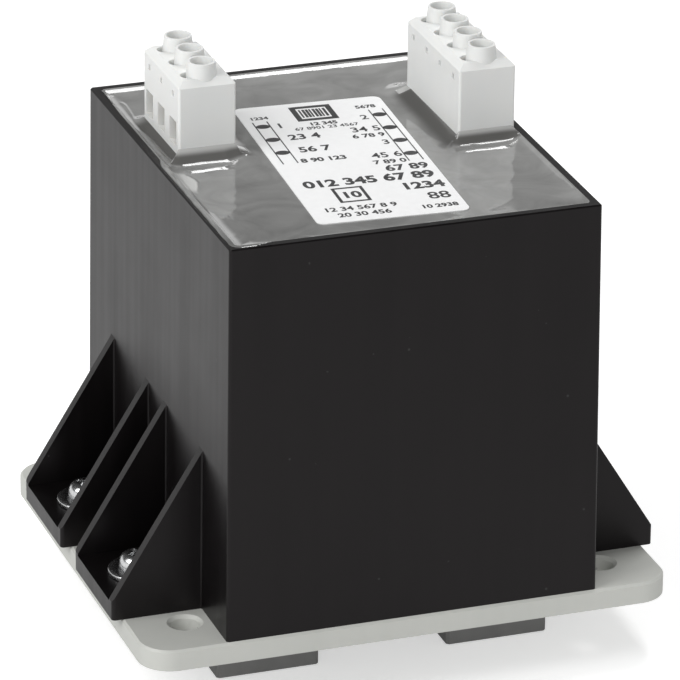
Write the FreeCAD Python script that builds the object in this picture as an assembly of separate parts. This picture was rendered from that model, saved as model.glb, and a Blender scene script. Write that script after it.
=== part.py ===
import FreeCAD, Part
import math
import os

V = FreeCAD.Vector

# Potted safety transformer on a plate with two rail clips.
# Millimetres. X across the lugs, Y from front to back, Z up, and Z = 0 under the rail clips.

# Laminations: an E and an I plate of the 60 mm series, stacked along Z
LEG_WIDTH = 20.0
WINDOW_WIDTH = 10.0
WINDOW_LENGTH = 30.0
YOKE_WIDTH = 10.0
STACK_HEIGHT = 31.0

# Two-chamber bobbin and its windings
LEG_CLEARANCE = 0.3
BOBBIN_WALL = 1.0
FLANGE_THICKNESS = 1.0
FLANGE_CLEARANCE = 0.3
CHAMBER_WALL = 1.0
WINDING_MARGIN = 0.9
WRAP_THICKNESS = 0.25
INTERLAYER = 0.25
INNER_SECONDARY_SHARE = 0.5
WINDING_BEND = 1.2

# Moulded case
JACKET_X = 2.35
JACKET_Y = 3.2
RESIN_UNDER = 1.3
RESIN_OVER = 8.2
RIM_RISE = 0.8
WALL = 1.4
FLOOR = 2.2
CASE_DRAFT = 0.5
CASE_EDGE_R = 0.5
CAVITY_EDGE_R = 0.8
RIM_CHAMFER = 0.2

# Screw lugs on the short sides of the case
LUG_REACH = 14.45
LUG_WIDTH = 19.3
LUG_GAP = 7.3
LUG_FLOOR = 2.7
LUG_END_HEIGHT = 3.0
LUG_CORNER_R = 0.6
GUSSET_HEIGHT = 26.3
GUSSET_THICKNESS = 1.6
GUSSET_ROOT_R = 0.3

# Fasteners of the lugs: M3 pan head screws with washers and nuts
SCREW_D = 3.0
SCREW_LENGTH = 8.0
SCREW_HEAD_D = 5.6
SCREW_HEAD_HEIGHT = 2.5
SCREW_HEAD_CHAMFER = 0.7
RECESS_WIDTH = 0.9
RECESS_SPAN = 3.2
RECESS_DEPTH = 1.3
HOLE_CLEARANCE = 0.4
WASHER_D = 9.0
WASHER_THICKNESS = 0.8
NUT_FLATS = 5.5
NUT_HEIGHT = 2.4
NUT_POCKET_DEPTH = 1.6
NUT_CLEARANCE = 0.1
THREAD_CLEARANCE = 0.05

# Adapter plate
PLATE_THICKNESS = 3.3
PLATE_SIDE_MARGIN = -1.55
PLATE_FRONT_MARGIN = 0.4
PLATE_CORNER_R = 5.0
PLATE_EDGE_CHAMFER = 0.35
CORNER_HOLE_D = 4.5
CORNER_HOLE_MOUTH = 5.5
CORNER_HOLE_INSET_X = 8.6
CORNER_HOLE_INSET_Y = 8.8

# Rail clips for a 35 mm top-hat rail, each held by a countersunk screw and kept square by a rib
RAIL_WIDTH = 35.0
RAIL_LIP = 1.0
RAIL_CLEARANCE = 0.2
CLIP_SPACING = 36.8
CLIP_WIDTH = 16.2
CLIP_BASE = 3.5
CLIP_HOOK_WALL = 4.3
CLIP_HOOK_GRIP = 2.2
CLIP_HOOK_LIP = 2.0
CLIP_HOOK_HEIGHT = 4.6
CLIP_SLIT = 1.1
CLIP_NECK = 1.5
CLIP_TAB_REACH = 3.6
CLIP_TAB_HEIGHT = 2.4
CLIP_TAB_SLOT = 1.3
CLIP_TAB_SLOT_LENGTH = 5.0
CLIP_EDGE_CHAMFER = 0.4
CLIP_RIB_WIDTH = 8.0
CLIP_RIB_LENGTH = 5.0
CLIP_RIB_HEIGHT = 1.0
CLIP_RIB_Y = 10.0
CLIP_RIB_CLEARANCE = 0.1
CLIP_SCREW_D = 2.9
CLIP_SCREW_LENGTH = 6.4
CLIP_SCREW_HEAD_D = 5.4

# Terminal blocks
POLE_PITCH = 5.8
PRIMARY_POLES = 3
SECONDARY_POLES = 4
BLOCK_WIDTH = 9.0
BLOCK_SINK = 3.0
BLOCK_RISE = 12.4
BLOCK_BACK_Y = 20.2
PRIMARY_WALL_GAP = 2.85
SECONDARY_WALL_GAP = 0.5
BLOCK_BEVEL = 1.0
BLOCK_EDGE_R = 0.4
TOWER_RISE = 2.1
TOWER_BASE_D = 4.7
TOWER_TOP_D = 4.2
MOUTH_D = 3.5
MOUTH_DEPTH = 1.3
DRIVER_BORE_D = 3.0
TEST_HOLE_D = 2.6
TEST_HOLE_DEPTH = 1.5
TEST_HOLE_OFFSET = 2.0
SIDE_SLOT = 0.9
SIDE_SLOT_DEPTH = 0.9
SIDE_SLOT_DROP = 2.6
ENTRY_WIDTH = 3.4
ENTRY_HEIGHT = 3.9
ENTRY_SILL = 1.9
CAGE_LENGTH = 4.6
CAGE_HEIGHT = 5.4
CAGE_DROP = 0.6
CAGE_WALL = 0.7
CAGE_ROOF = 1.4
CAGE_CLEARANCE = 0.1
PARTITION = 1.3
CLAMP_SCREW_D = 2.6
CLAMP_SCREW_SIDES = 12
CLAMP_SCREW_DIP = 1.6
CLAMP_SCREW_RISE = 1.2
CLAMP_SLOT_WIDTH = 0.5
CLAMP_SLOT_DEPTH = 0.7
PIN_WIDTH = 1.0
PIN_THICKNESS = 0.8
PIN_CLEARANCE = 0.05
PIN_TIP = 0.4
FOOT_REACH = 1.7
FOOT_THICKNESS = 1.3
FOOT_RISE = 1.0
FOOT_TOE = 0.3

# Lead wires between the windings and the pins
LEAD_D = 1.2
LEAD_LEVEL = 2.6
SOLDER_D = 2.2
SOLDER_HEIGHT = 1.7
LEAD_PITCH = 4.6
PRIMARY_LEAD_Y = 5.0
SECONDARY_LEAD_Y = 1.5

# Rating label, lying slightly askew on the resin
LABEL_WIDTH = 23.3
LABEL_LENGTH = 48.2
LABEL_THICKNESS = 0.15
LABEL_CORNER_R = 1.3
LABEL_X = 0.0
LABEL_Y = -4.2
LABEL_TURN = -3.1

# Levels and spans that follow from the sizes above
CLIP_HEIGHT = CLIP_HOOK_HEIGHT + RAIL_LIP + RAIL_CLEARANCE + CLIP_BASE
PLATE_TOP = CLIP_HEIGHT + PLATE_THICKNESS
RAIL_SEAT = CLIP_HEIGHT - CLIP_BASE
CORE_X = WINDOW_LENGTH + 2 * YOKE_WIDTH
CORE_Y = LEG_WIDTH + 2 * WINDOW_WIDTH + 2 * YOKE_WIDTH
FLANGE_Y = LEG_WIDTH / 2 + WINDOW_WIDTH - FLANGE_CLEARANCE
FLANGE_Z = STACK_HEIGHT / 2 + WINDOW_WIDTH - 2 * FLANGE_CLEARANCE
CAVITY_BOTTOM = PLATE_TOP + FLOOR
CORE_Z = CAVITY_BOTTOM + RESIN_UNDER + FLANGE_Z
RESIN_LEVEL = CORE_Z + FLANGE_Z + RESIN_OVER
RIM = RESIN_LEVEL + RIM_RISE
CAVITY_X = CORE_X + 2 * JACKET_X
CAVITY_Y = CORE_Y + 2 * JACKET_Y
CASE_X = CAVITY_X + 2 * WALL
CASE_Y = CAVITY_Y + 2 * WALL
LUG_END = CASE_X / 2 + LUG_REACH
LUG_CENTRE = (LUG_GAP + LUG_WIDTH) / 2
SCREW_X = CASE_X / 2 + (CASE_DRAFT + LUG_REACH) / 2
TUBE_Y = LEG_WIDTH / 2 + LEG_CLEARANCE + BOBBIN_WALL
TUBE_Z = STACK_HEIGHT / 2 + LEG_CLEARANCE + BOBBIN_WALL
BOBBIN_X = WINDOW_LENGTH / 2 - FLANGE_CLEARANCE
WINDING_BUILD = FLANGE_Y - TUBE_Y - WRAP_THICKNESS - WINDING_MARGIN
WINDING_TOP = CORE_Z + TUBE_Z + WINDING_BUILD + WRAP_THICKNESS
LEAD_Z = WINDING_TOP + LEAD_LEVEL
BLOCK_BOTTOM = RESIN_LEVEL - BLOCK_SINK
BLOCK_TOP = RESIN_LEVEL + BLOCK_RISE
CAGE_BOTTOM = RESIN_LEVEL + ENTRY_SILL - CAGE_DROP
CAGE_TOP = CAGE_BOTTOM + CAGE_HEIGHT
CAGE_WIDTH = POLE_PITCH - PARTITION - 2 * CAGE_CLEARANCE
PRIMARY_X = -CAVITY_X / 2 + PRIMARY_WALL_GAP + BLOCK_WIDTH / 2
SECONDARY_X = CAVITY_X / 2 - SECONDARY_WALL_GAP - BLOCK_WIDTH / 2
PIN_BOTTOM = LEAD_Z - SOLDER_HEIGHT / 2 - PIN_TIP


def box(x0, x1, y0, y1, z0, z1):
    return Part.makeBox(x1 - x0, y1 - y0, z1 - z0, V(x0, y0, z0))


def rod(diameter, x, y, z0, z1):
    return Part.makeCylinder(diameter / 2, z1 - z0, V(x, y, z0))


def cone(d0, d1, x, y, z0, z1):
    return Part.makeCone(d0 / 2, d1 / 2, z1 - z0, V(x, y, z0))


def frustum(x0, y0, z0, x1, y1, z1):
    """A block whose rectangle x0 by y0 at z0 becomes x1 by y1 at z1."""
    wedge = Part.makeWedge(-x0 / 2, 0, -y0 / 2, -y1 / 2, -x1 / 2, x0 / 2, z1 - z0, y0 / 2, y1 / 2, x1 / 2)
    wedge.rotate(V(0, 0, 0), V(1, 0, 0), 90)
    wedge.translate(V(0, 0, z0))
    return wedge


def edges_where(shape, test):
    """The edges whose two ends both pass the test."""
    found = []
    for edge in shape.Edges:
        ends = [vertex.Point for vertex in edge.Vertexes]
        if len(ends) == 2 and test(ends[0], ends[1]):
            found.append(edge)
    return found


def upright(p, q):
    return abs(p.z - q.z) > 10 * max(abs(p.x - q.x), abs(p.y - q.y))


def level_at(z):
    return lambda p, q: abs(p.z - z) < 0.01 and abs(q.z - z) < 0.01


def rounded_plate(width, depth, radius, z0, z1):
    block = box(-width / 2, width / 2, -depth / 2, depth / 2, z0, z1)
    return block.makeFillet(radius, edges_where(block, upright))


def polygon(sides, flats, x, y, z):
    """A regular polygon, measured across its flats."""
    radius = flats / 2 / math.cos(math.pi / sides)
    corners = []
    for i in range(sides):
        angle = 2 * math.pi * i / sides
        corners.append(V(x + radius * math.cos(angle), y + radius * math.sin(angle), z))
    return Part.makePolygon(corners + corners[:1])


def prism(sides, flats, x, y, z0, z1):
    return Part.Face(polygon(sides, flats, x, y, z0)).extrude(V(0, 0, z1 - z0))


def wound_block(x0, x1, grow):
    """The bobbin tube grown by a build height, with its corners cut as the wire bends round them."""
    half_y = TUBE_Y + grow
    half_z = TUBE_Z + grow
    block = box(x0, x1, -half_y, half_y, CORE_Z - half_z, CORE_Z + half_z)
    if grow == 0:
        return block
    along = edges_where(block, lambda p, q: abs(p.x - q.x) > (x1 - x0) / 2)
    return block.makeChamfer(WINDING_BEND + grow / 2, along)


def sleeve(x0, x1, inner_grow, outer_grow):
    """A ring wound round the bobbin tube, from one build height to another."""
    return wound_block(x0, x1, outer_grow).cut(wound_block(x0, x1, inner_grow))


def lug_places():
    return [(sx * SCREW_X, sy * LUG_CENTRE) for sx in (-1, 1) for sy in (-1, 1)]


def clip_x(side):
    return side * CLIP_SPACING / 2


def clip_rib(side, grow):
    """The rib on top of a clip, or with clearance the recess for it in the plate."""
    x = clip_x(side)
    return box(x - CLIP_RIB_WIDTH / 2 - grow, x + CLIP_RIB_WIDTH / 2 + grow,
               CLIP_RIB_Y - CLIP_RIB_LENGTH / 2 - grow, CLIP_RIB_Y + CLIP_RIB_LENGTH / 2 + grow,
               CLIP_HEIGHT, CLIP_HEIGHT + CLIP_RIB_HEIGHT + grow)


# Core
def core_e_stack():
    blank = box(-WINDOW_LENGTH / 2, CORE_X / 2, -CORE_Y / 2, CORE_Y / 2,
                CORE_Z - STACK_HEIGHT / 2, CORE_Z + STACK_HEIGHT / 2)
    for sy in (-1, 1):
        near = sy * LEG_WIDTH / 2
        far = sy * (LEG_WIDTH / 2 + WINDOW_WIDTH)
        window = box(-WINDOW_LENGTH / 2, WINDOW_LENGTH / 2, min(near, far), max(near, far),
                     CORE_Z - STACK_HEIGHT / 2, CORE_Z + STACK_HEIGHT / 2)
        blank = blank.cut(window)
    return blank


def core_i_stack():
    return box(-CORE_X / 2, -WINDOW_LENGTH / 2, -CORE_Y / 2, CORE_Y / 2,
               CORE_Z - STACK_HEIGHT / 2, CORE_Z + STACK_HEIGHT / 2)


# Bobbin and windings
def bobbin():
    tube = box(-BOBBIN_X, BOBBIN_X, -TUBE_Y, TUBE_Y, CORE_Z - TUBE_Z, CORE_Z + TUBE_Z)
    solid = tube
    for x0, thickness in flange_places():
        solid = solid.fuse(box(x0, x0 + thickness, -FLANGE_Y, FLANGE_Y, CORE_Z - FLANGE_Z, CORE_Z + FLANGE_Z))
    bore_y = LEG_WIDTH / 2 + LEG_CLEARANCE
    bore_z = STACK_HEIGHT / 2 + LEG_CLEARANCE
    bore = box(-BOBBIN_X, BOBBIN_X, -bore_y, bore_y, CORE_Z - bore_z, CORE_Z + bore_z)
    return solid.cut(bore).removeSplitter()


def flange_places():
    return ((-BOBBIN_X, FLANGE_THICKNESS), (-CHAMBER_WALL / 2, CHAMBER_WALL),
            (BOBBIN_X - FLANGE_THICKNESS, FLANGE_THICKNESS))


def chamber(side):
    """Start and end in X of the winding space on one side of the middle flange."""
    near = CHAMBER_WALL / 2
    far = BOBBIN_X - FLANGE_THICKNESS
    return (near, far) if side > 0 else (-far, -near)


def secondary_split():
    return (WINDING_BUILD - INTERLAYER) * INNER_SECONDARY_SHARE


# Case
def case_outside():
    block = frustum(CASE_X + 2 * CASE_DRAFT, CASE_Y + 2 * CASE_DRAFT, PLATE_TOP, CASE_X, CASE_Y, RIM)
    return block.makeFillet(CASE_EDGE_R, edges_where(block, upright))


def case_cavity(top):
    taper = 2 * CASE_DRAFT * (top - CAVITY_BOTTOM) / (RIM - CAVITY_BOTTOM)
    low_x = CAVITY_X - 2 * CASE_DRAFT
    low_y = CAVITY_Y - 2 * CASE_DRAFT
    block = frustum(low_x, low_y, CAVITY_BOTTOM, low_x + taper, low_y + taper, top)
    return block.makeFillet(CAVITY_EDGE_R, edges_where(block, upright))


def gusset(side, y):
    """A triangular rib from the case wall down to the outer end of a lug."""
    wall_x = CASE_X / 2
    base = PLATE_TOP
    outline = [V(wall_x - WALL / 2, y, base), V(LUG_END, y, base), V(LUG_END, y, base + LUG_END_HEIGHT),
               V(wall_x, y, base + GUSSET_HEIGHT), V(wall_x - WALL / 2, y, base + GUSSET_HEIGHT)]
    outline = [V(side * p.x, p.y - GUSSET_THICKNESS / 2, p.z) for p in outline]
    return Part.Face(Part.makePolygon(outline + outline[:1])).extrude(V(0, GUSSET_THICKNESS, 0))


def lug(side, y):
    """One screw lug: a floor between two gussets."""
    near = CASE_X / 2 - WALL / 2
    x0, x1 = sorted((side * near, side * LUG_END))
    shape = box(x0, x1, y - LUG_WIDTH / 2, y + LUG_WIDTH / 2, PLATE_TOP, PLATE_TOP + LUG_FLOOR)
    for sy in (-1, 1):
        shape = shape.fuse(gusset(side, y + sy * (LUG_WIDTH - GUSSET_THICKNESS) / 2))
    shape = shape.removeSplitter()

    def is_corner(p, q):
        at_end = abs(abs(p.x) - LUG_END) < 0.01
        at_side = abs(abs(p.y - y) - LUG_WIDTH / 2) < 0.01
        return upright(p, q) and at_end and at_side
    return shape.makeFillet(LUG_CORNER_R, edges_where(shape, is_corner))


def gusset_roots(shape):
    """The edges where the gussets' flanks run up the case wall."""
    def is_root(p, q):
        low, high = sorted((p, q), key=lambda point: point.z)
        tall = high.z - low.z > GUSSET_HEIGHT / 2
        below_rim = high.z < (PLATE_TOP + GUSSET_HEIGHT + RIM) / 2
        on_wall = abs(low.x) < CASE_X / 2 + CASE_DRAFT + 0.01
        among_lugs = abs(low.y) < LUG_GAP / 2 + LUG_WIDTH + 0.01
        return upright(p, q) and tall and below_rim and on_wall and among_lugs
    return edges_where(shape, is_root)


def housing():
    shape = case_outside()
    for side in (-1, 1):
        for sy in (-1, 1):
            shape = shape.fuse(lug(side, sy * LUG_CENTRE))
    shape = shape.removeSplitter()
    shape = shape.makeFillet(GUSSET_ROOT_R, gusset_roots(shape))
    shape = shape.cut(case_cavity(RIM))
    shape = shape.makeChamfer(RIM_CHAMFER, edges_where(shape, level_at(RIM)))
    for x, y in lug_places():
        shape = shape.cut(rod(SCREW_D + HOLE_CLEARANCE, x, y, PLATE_TOP, PLATE_TOP + LUG_FLOOR))
    return shape


# Adapter plate
def plate_x():
    return 2 * (LUG_END + PLATE_SIDE_MARGIN)


def plate_y():
    return CASE_Y + 2 * (CASE_DRAFT + PLATE_FRONT_MARGIN)


def adapter_plate():
    shape = rounded_plate(plate_x(), plate_y(), PLATE_CORNER_R, CLIP_HEIGHT, PLATE_TOP)
    rims = [edge for edge in shape.Edges if abs(edge.BoundBox.ZMax - edge.BoundBox.ZMin) < 0.01]
    rims = [edge for edge in rims if abs(edge.BoundBox.ZMax - PLATE_TOP) < 0.01]
    shape = shape.makeChamfer(PLATE_EDGE_CHAMFER, rims)
    mouth_depth = (CORNER_HOLE_MOUTH - CORNER_HOLE_D) / 2
    for sx in (-1, 1):
        for sy in (-1, 1):
            x = sx * (plate_x() / 2 - CORNER_HOLE_INSET_X)
            y = sy * (plate_y() / 2 - CORNER_HOLE_INSET_Y)
            shape = shape.cut(rod(CORNER_HOLE_D, x, y, CLIP_HEIGHT, PLATE_TOP))
            mouth = cone(CORNER_HOLE_D, CORNER_HOLE_MOUTH, x, y, PLATE_TOP - mouth_depth, PLATE_TOP)
            shape = shape.cut(mouth)
    for x, y in lug_places():
        shape = shape.cut(rod(SCREW_D + HOLE_CLEARANCE, x, y, CLIP_HEIGHT, PLATE_TOP))
        pocket = prism(6, NUT_FLATS + 2 * NUT_CLEARANCE, x, y, CLIP_HEIGHT, CLIP_HEIGHT + NUT_POCKET_DEPTH)
        shape = shape.cut(pocket)
    for side in (-1, 1):
        shape = shape.cut(rod(CLIP_SCREW_D, clip_x(side), 0, CLIP_HEIGHT, PLATE_TOP))
        shape = shape.cut(countersunk_head(clip_x(side), 0))
        shape = shape.cut(clip_rib(side, CLIP_RIB_CLEARANCE))
    return shape


# Fasteners
def lug_screw(x, y):
    seat = PLATE_TOP + LUG_FLOOR + WASHER_THICKNESS
    head = rod(SCREW_HEAD_D, x, y, seat, seat + SCREW_HEAD_HEIGHT)
    rims = [edge for edge in head.Edges if abs(edge.BoundBox.ZMin - seat - SCREW_HEAD_HEIGHT) < 0.01]
    head = head.makeChamfer(SCREW_HEAD_CHAMFER, rims)
    top = seat + SCREW_HEAD_HEIGHT
    for half_x, half_y in ((RECESS_SPAN / 2, RECESS_WIDTH / 2), (RECESS_WIDTH / 2, RECESS_SPAN / 2)):
        head = head.cut(box(x - half_x, x + half_x, y - half_y, y + half_y, top - RECESS_DEPTH, top))
    return head.fuse(rod(SCREW_D, x, y, seat - SCREW_LENGTH, seat)).removeSplitter()


def lug_washer(x, y):
    seat = PLATE_TOP + LUG_FLOOR
    disc = rod(WASHER_D, x, y, seat, seat + WASHER_THICKNESS)
    return disc.cut(rod(SCREW_D + HOLE_CLEARANCE / 2, x, y, seat, seat + WASHER_THICKNESS))


def lug_nut(x, y):
    top = CLIP_HEIGHT + NUT_POCKET_DEPTH
    nut = prism(6, NUT_FLATS, x, y, top - NUT_HEIGHT, top)
    return nut.cut(rod(SCREW_D + 2 * THREAD_CLEARANCE, x, y, top - NUT_HEIGHT, top))


def countersunk_head(x, y):
    depth = (CLIP_SCREW_HEAD_D - CLIP_SCREW_D) / 2
    return cone(CLIP_SCREW_D, CLIP_SCREW_HEAD_D, x, y, PLATE_TOP - depth, PLATE_TOP)


def clip_screw(x, y):
    head_bottom = PLATE_TOP - (CLIP_SCREW_HEAD_D - CLIP_SCREW_D) / 2
    shank = rod(CLIP_SCREW_D, x, y, PLATE_TOP - CLIP_SCREW_LENGTH, head_bottom)
    return shank.fuse(countersunk_head(x, y)).removeSplitter()


# Rail clips
def rail_clip(side):
    """A rigid hook at the front and a springing hook with a release tab at the back."""
    edge = RAIL_WIDTH / 2 + RAIL_CLEARANCE
    outer = edge + CLIP_HOOK_WALL
    tip = edge - CLIP_HOOK_GRIP
    slot_top = RAIL_SEAT
    slot_bottom = CLIP_HOOK_HEIGHT
    lip_bottom = CLIP_HOOK_HEIGHT - CLIP_HOOK_LIP
    neck = CLIP_HEIGHT - CLIP_NECK
    outline = [(-outer, CLIP_HEIGHT), (-outer, 0), (-edge, 0), (-tip, lip_bottom), (-tip, slot_bottom),
               (-edge, slot_bottom), (-edge, slot_top), (edge - CLIP_SLIT, slot_top), (edge - CLIP_SLIT, neck),
               (edge, neck), (edge, slot_bottom), (tip, slot_bottom), (tip, lip_bottom), (edge, 0),
               (outer + CLIP_TAB_REACH, 0), (outer + CLIP_TAB_REACH, CLIP_TAB_HEIGHT),
               (outer, CLIP_TAB_HEIGHT), (outer, CLIP_HEIGHT)]
    x = clip_x(side)
    x0 = x - CLIP_WIDTH / 2
    points = [V(x0, y, z) for y, z in outline]
    shape = Part.Face(Part.makePolygon(points + points[:1])).extrude(V(CLIP_WIDTH, 0, 0))
    fronts = edges_where(shape, lambda p, q: upright(p, q) and abs(abs(p.y) - outer) < 0.01)
    shape = shape.makeChamfer(CLIP_EDGE_CHAMFER, fronts)
    slot_y = outer + CLIP_TAB_REACH / 2
    shape = shape.cut(box(x - CLIP_TAB_SLOT_LENGTH / 2, x + CLIP_TAB_SLOT_LENGTH / 2,
                          slot_y - CLIP_TAB_SLOT / 2, slot_y + CLIP_TAB_SLOT / 2, 0, CLIP_TAB_HEIGHT))
    shape = shape.fuse(clip_rib(side, 0)).removeSplitter()
    return shape.cut(rod(CLIP_SCREW_D, x, 0, PLATE_TOP - CLIP_SCREW_LENGTH, CLIP_HEIGHT))


# Terminal blocks
def pole_places(poles):
    return [BLOCK_BACK_Y - POLE_PITCH * (i + 0.5) for i in range(poles)]


def block_blank(x, poles):
    """The closed outer form of a terminal body, without its towers."""
    front = BLOCK_BACK_Y - poles * POLE_PITCH
    block = box(x - BLOCK_WIDTH / 2, x + BLOCK_WIDTH / 2, front, BLOCK_BACK_Y, BLOCK_BOTTOM, BLOCK_TOP)
    block = block.makeChamfer(BLOCK_BEVEL, edges_where(block, level_at(BLOCK_TOP)))
    return block.makeFillet(BLOCK_EDGE_R, edges_where(block, upright))


def block_foot(x, y, side):
    """A small sloping nose that steadies the body on the resin."""
    face = x + side * (BLOCK_WIDTH / 2 - BLOCK_EDGE_R)
    tip = x + side * (BLOCK_WIDTH / 2 + FOOT_REACH)
    outline = [V(face, y, BLOCK_BOTTOM), V(tip, y, BLOCK_BOTTOM), V(tip, y, RESIN_LEVEL + FOOT_TOE),
               V(face, y, RESIN_LEVEL + FOOT_RISE)]
    return Part.Face(Part.makePolygon(outline + outline[:1])).extrude(V(0, FOOT_THICKNESS, 0))


def primary_foot():
    front = BLOCK_BACK_Y - PRIMARY_POLES * POLE_PITCH
    return block_foot(PRIMARY_X, front + BLOCK_EDGE_R, 1)


def secondary_foot():
    return block_foot(SECONDARY_X, BLOCK_BACK_Y - BLOCK_EDGE_R - FOOT_THICKNESS, -1)


def cage_space(x, y, grow):
    return box(x - CAGE_LENGTH / 2 - grow, x + CAGE_LENGTH / 2 + grow, y - CAGE_WIDTH / 2 - grow,
               y + CAGE_WIDTH / 2 + grow, CAGE_BOTTOM, CAGE_TOP + grow)


def terminal_body(x, poles, entry_side, foot):
    shape = block_blank(x, poles).fuse(foot)
    tower_top = BLOCK_TOP + TOWER_RISE
    sill = RESIN_LEVEL + ENTRY_SILL
    slot_z = BLOCK_TOP - SIDE_SLOT_DROP
    for y in pole_places(poles):
        shape = shape.cut(rod(TEST_HOLE_D, x - TEST_HOLE_OFFSET, y, BLOCK_TOP - TEST_HOLE_DEPTH, BLOCK_TOP))
        shape = shape.fuse(rod(TOWER_BASE_D, x, y, BLOCK_TOP - TEST_HOLE_DEPTH, BLOCK_TOP))
        for side in (-1, 1):
            face = x + side * BLOCK_WIDTH / 2
            x0, x1 = sorted((face, face - side * SIDE_SLOT_DEPTH))
            shape = shape.cut(box(x0, x1, y - SIDE_SLOT / 2, y + SIDE_SLOT / 2,
                                  slot_z - SIDE_SLOT / 2, slot_z + SIDE_SLOT / 2))
        shape = shape.fuse(cone(TOWER_BASE_D, TOWER_TOP_D, x, y, BLOCK_TOP, tower_top))
        shape = shape.cut(rod(DRIVER_BORE_D, x, y, CAGE_TOP, tower_top))
        shape = shape.cut(cone(DRIVER_BORE_D, MOUTH_D, x, y, tower_top - MOUTH_DEPTH, tower_top))
        shape = shape.cut(cage_space(x, y, CAGE_CLEARANCE))
        x0, x1 = sorted((x, x + entry_side * BLOCK_WIDTH / 2))
        shape = shape.cut(box(x0, x1, y - ENTRY_WIDTH / 2, y + ENTRY_WIDTH / 2, sill, sill + ENTRY_HEIGHT))
        half_x = PIN_WIDTH / 2 + PIN_CLEARANCE
        half_y = PIN_THICKNESS / 2 + PIN_CLEARANCE
        shape = shape.cut(box(x - half_x, x + half_x, y - half_y, y + half_y, BLOCK_BOTTOM, CAGE_BOTTOM))
    return shape.removeSplitter()


def clamp_cage(x, y):
    """A brass cage, open towards the wire, with the screw's thread in its roof."""
    cage = cage_space(x, y, 0)
    floor = RESIN_LEVEL + ENTRY_SILL
    opening = CAGE_WIDTH / 2 - CAGE_WALL
    roof = CAGE_TOP - CAGE_ROOF
    cage = cage.cut(box(x - CAGE_LENGTH / 2, x + CAGE_LENGTH / 2, y - opening, y + opening, floor, roof))
    return cage.cut(prism(CLAMP_SCREW_SIDES, CLAMP_SCREW_D + 2 * THREAD_CLEARANCE, x, y, roof, CAGE_TOP))


def clamp_screw(x, y):
    """A headless screw, slotted, through the cage's roof."""
    top = CAGE_TOP + CLAMP_SCREW_RISE
    screw = prism(CLAMP_SCREW_SIDES, CLAMP_SCREW_D, x, y, CAGE_TOP - CAGE_ROOF - CLAMP_SCREW_DIP, top)
    return screw.cut(box(x - CLAMP_SCREW_D / 2, x + CLAMP_SCREW_D / 2, y - CLAMP_SLOT_WIDTH / 2,
                         y + CLAMP_SLOT_WIDTH / 2, top - CLAMP_SLOT_DEPTH, top))


def solder_pin(x, y):
    return box(x - PIN_WIDTH / 2, x + PIN_WIDTH / 2, y - PIN_THICKNESS / 2, y + PIN_THICKNESS / 2,
               PIN_BOTTOM, CAGE_BOTTOM)


# Lead wires
def lead_wire(start_x, start_y, pin_x, pin_y):
    """From the top of a winding straight up, then across to its pin, where it is wrapped and soldered."""
    start = V(start_x, start_y, WINDING_TOP)
    corner = V(start_x, start_y, LEAD_Z)
    path = Part.makePolygon([start, corner, V(pin_x, pin_y, LEAD_Z)])
    wire = path.makePipeShell([polygon(6, LEAD_D, start_x, start_y, WINDING_TOP)], True, False, 1)
    joint = prism(6, SOLDER_D, pin_x, pin_y, LEAD_Z - SOLDER_HEIGHT / 2, LEAD_Z + SOLDER_HEIGHT / 2)
    return wire.fuse(joint).cut(solder_pin(pin_x, pin_y))


def lead_set(side, pin_x, poles, middle):
    x0, x1 = chamber(side)
    starts = [middle + LEAD_PITCH * ((poles - 1) / 2 - i) for i in range(poles)]
    pins = pole_places(poles)
    return [lead_wire((x0 + x1) / 2, starts[i], pin_x, pins[i]) for i in range(poles)]


# Label
def rating_label():
    shape = rounded_plate(LABEL_WIDTH, LABEL_LENGTH, LABEL_CORNER_R, RESIN_LEVEL, RESIN_LEVEL + LABEL_THICKNESS)
    shape.rotate(V(0, 0, 0), V(0, 0, 1), LABEL_TURN)
    shape.translate(V(LABEL_X, LABEL_Y, 0))
    return shape


def group(solids):
    return Part.makeCompound(solids)


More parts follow.
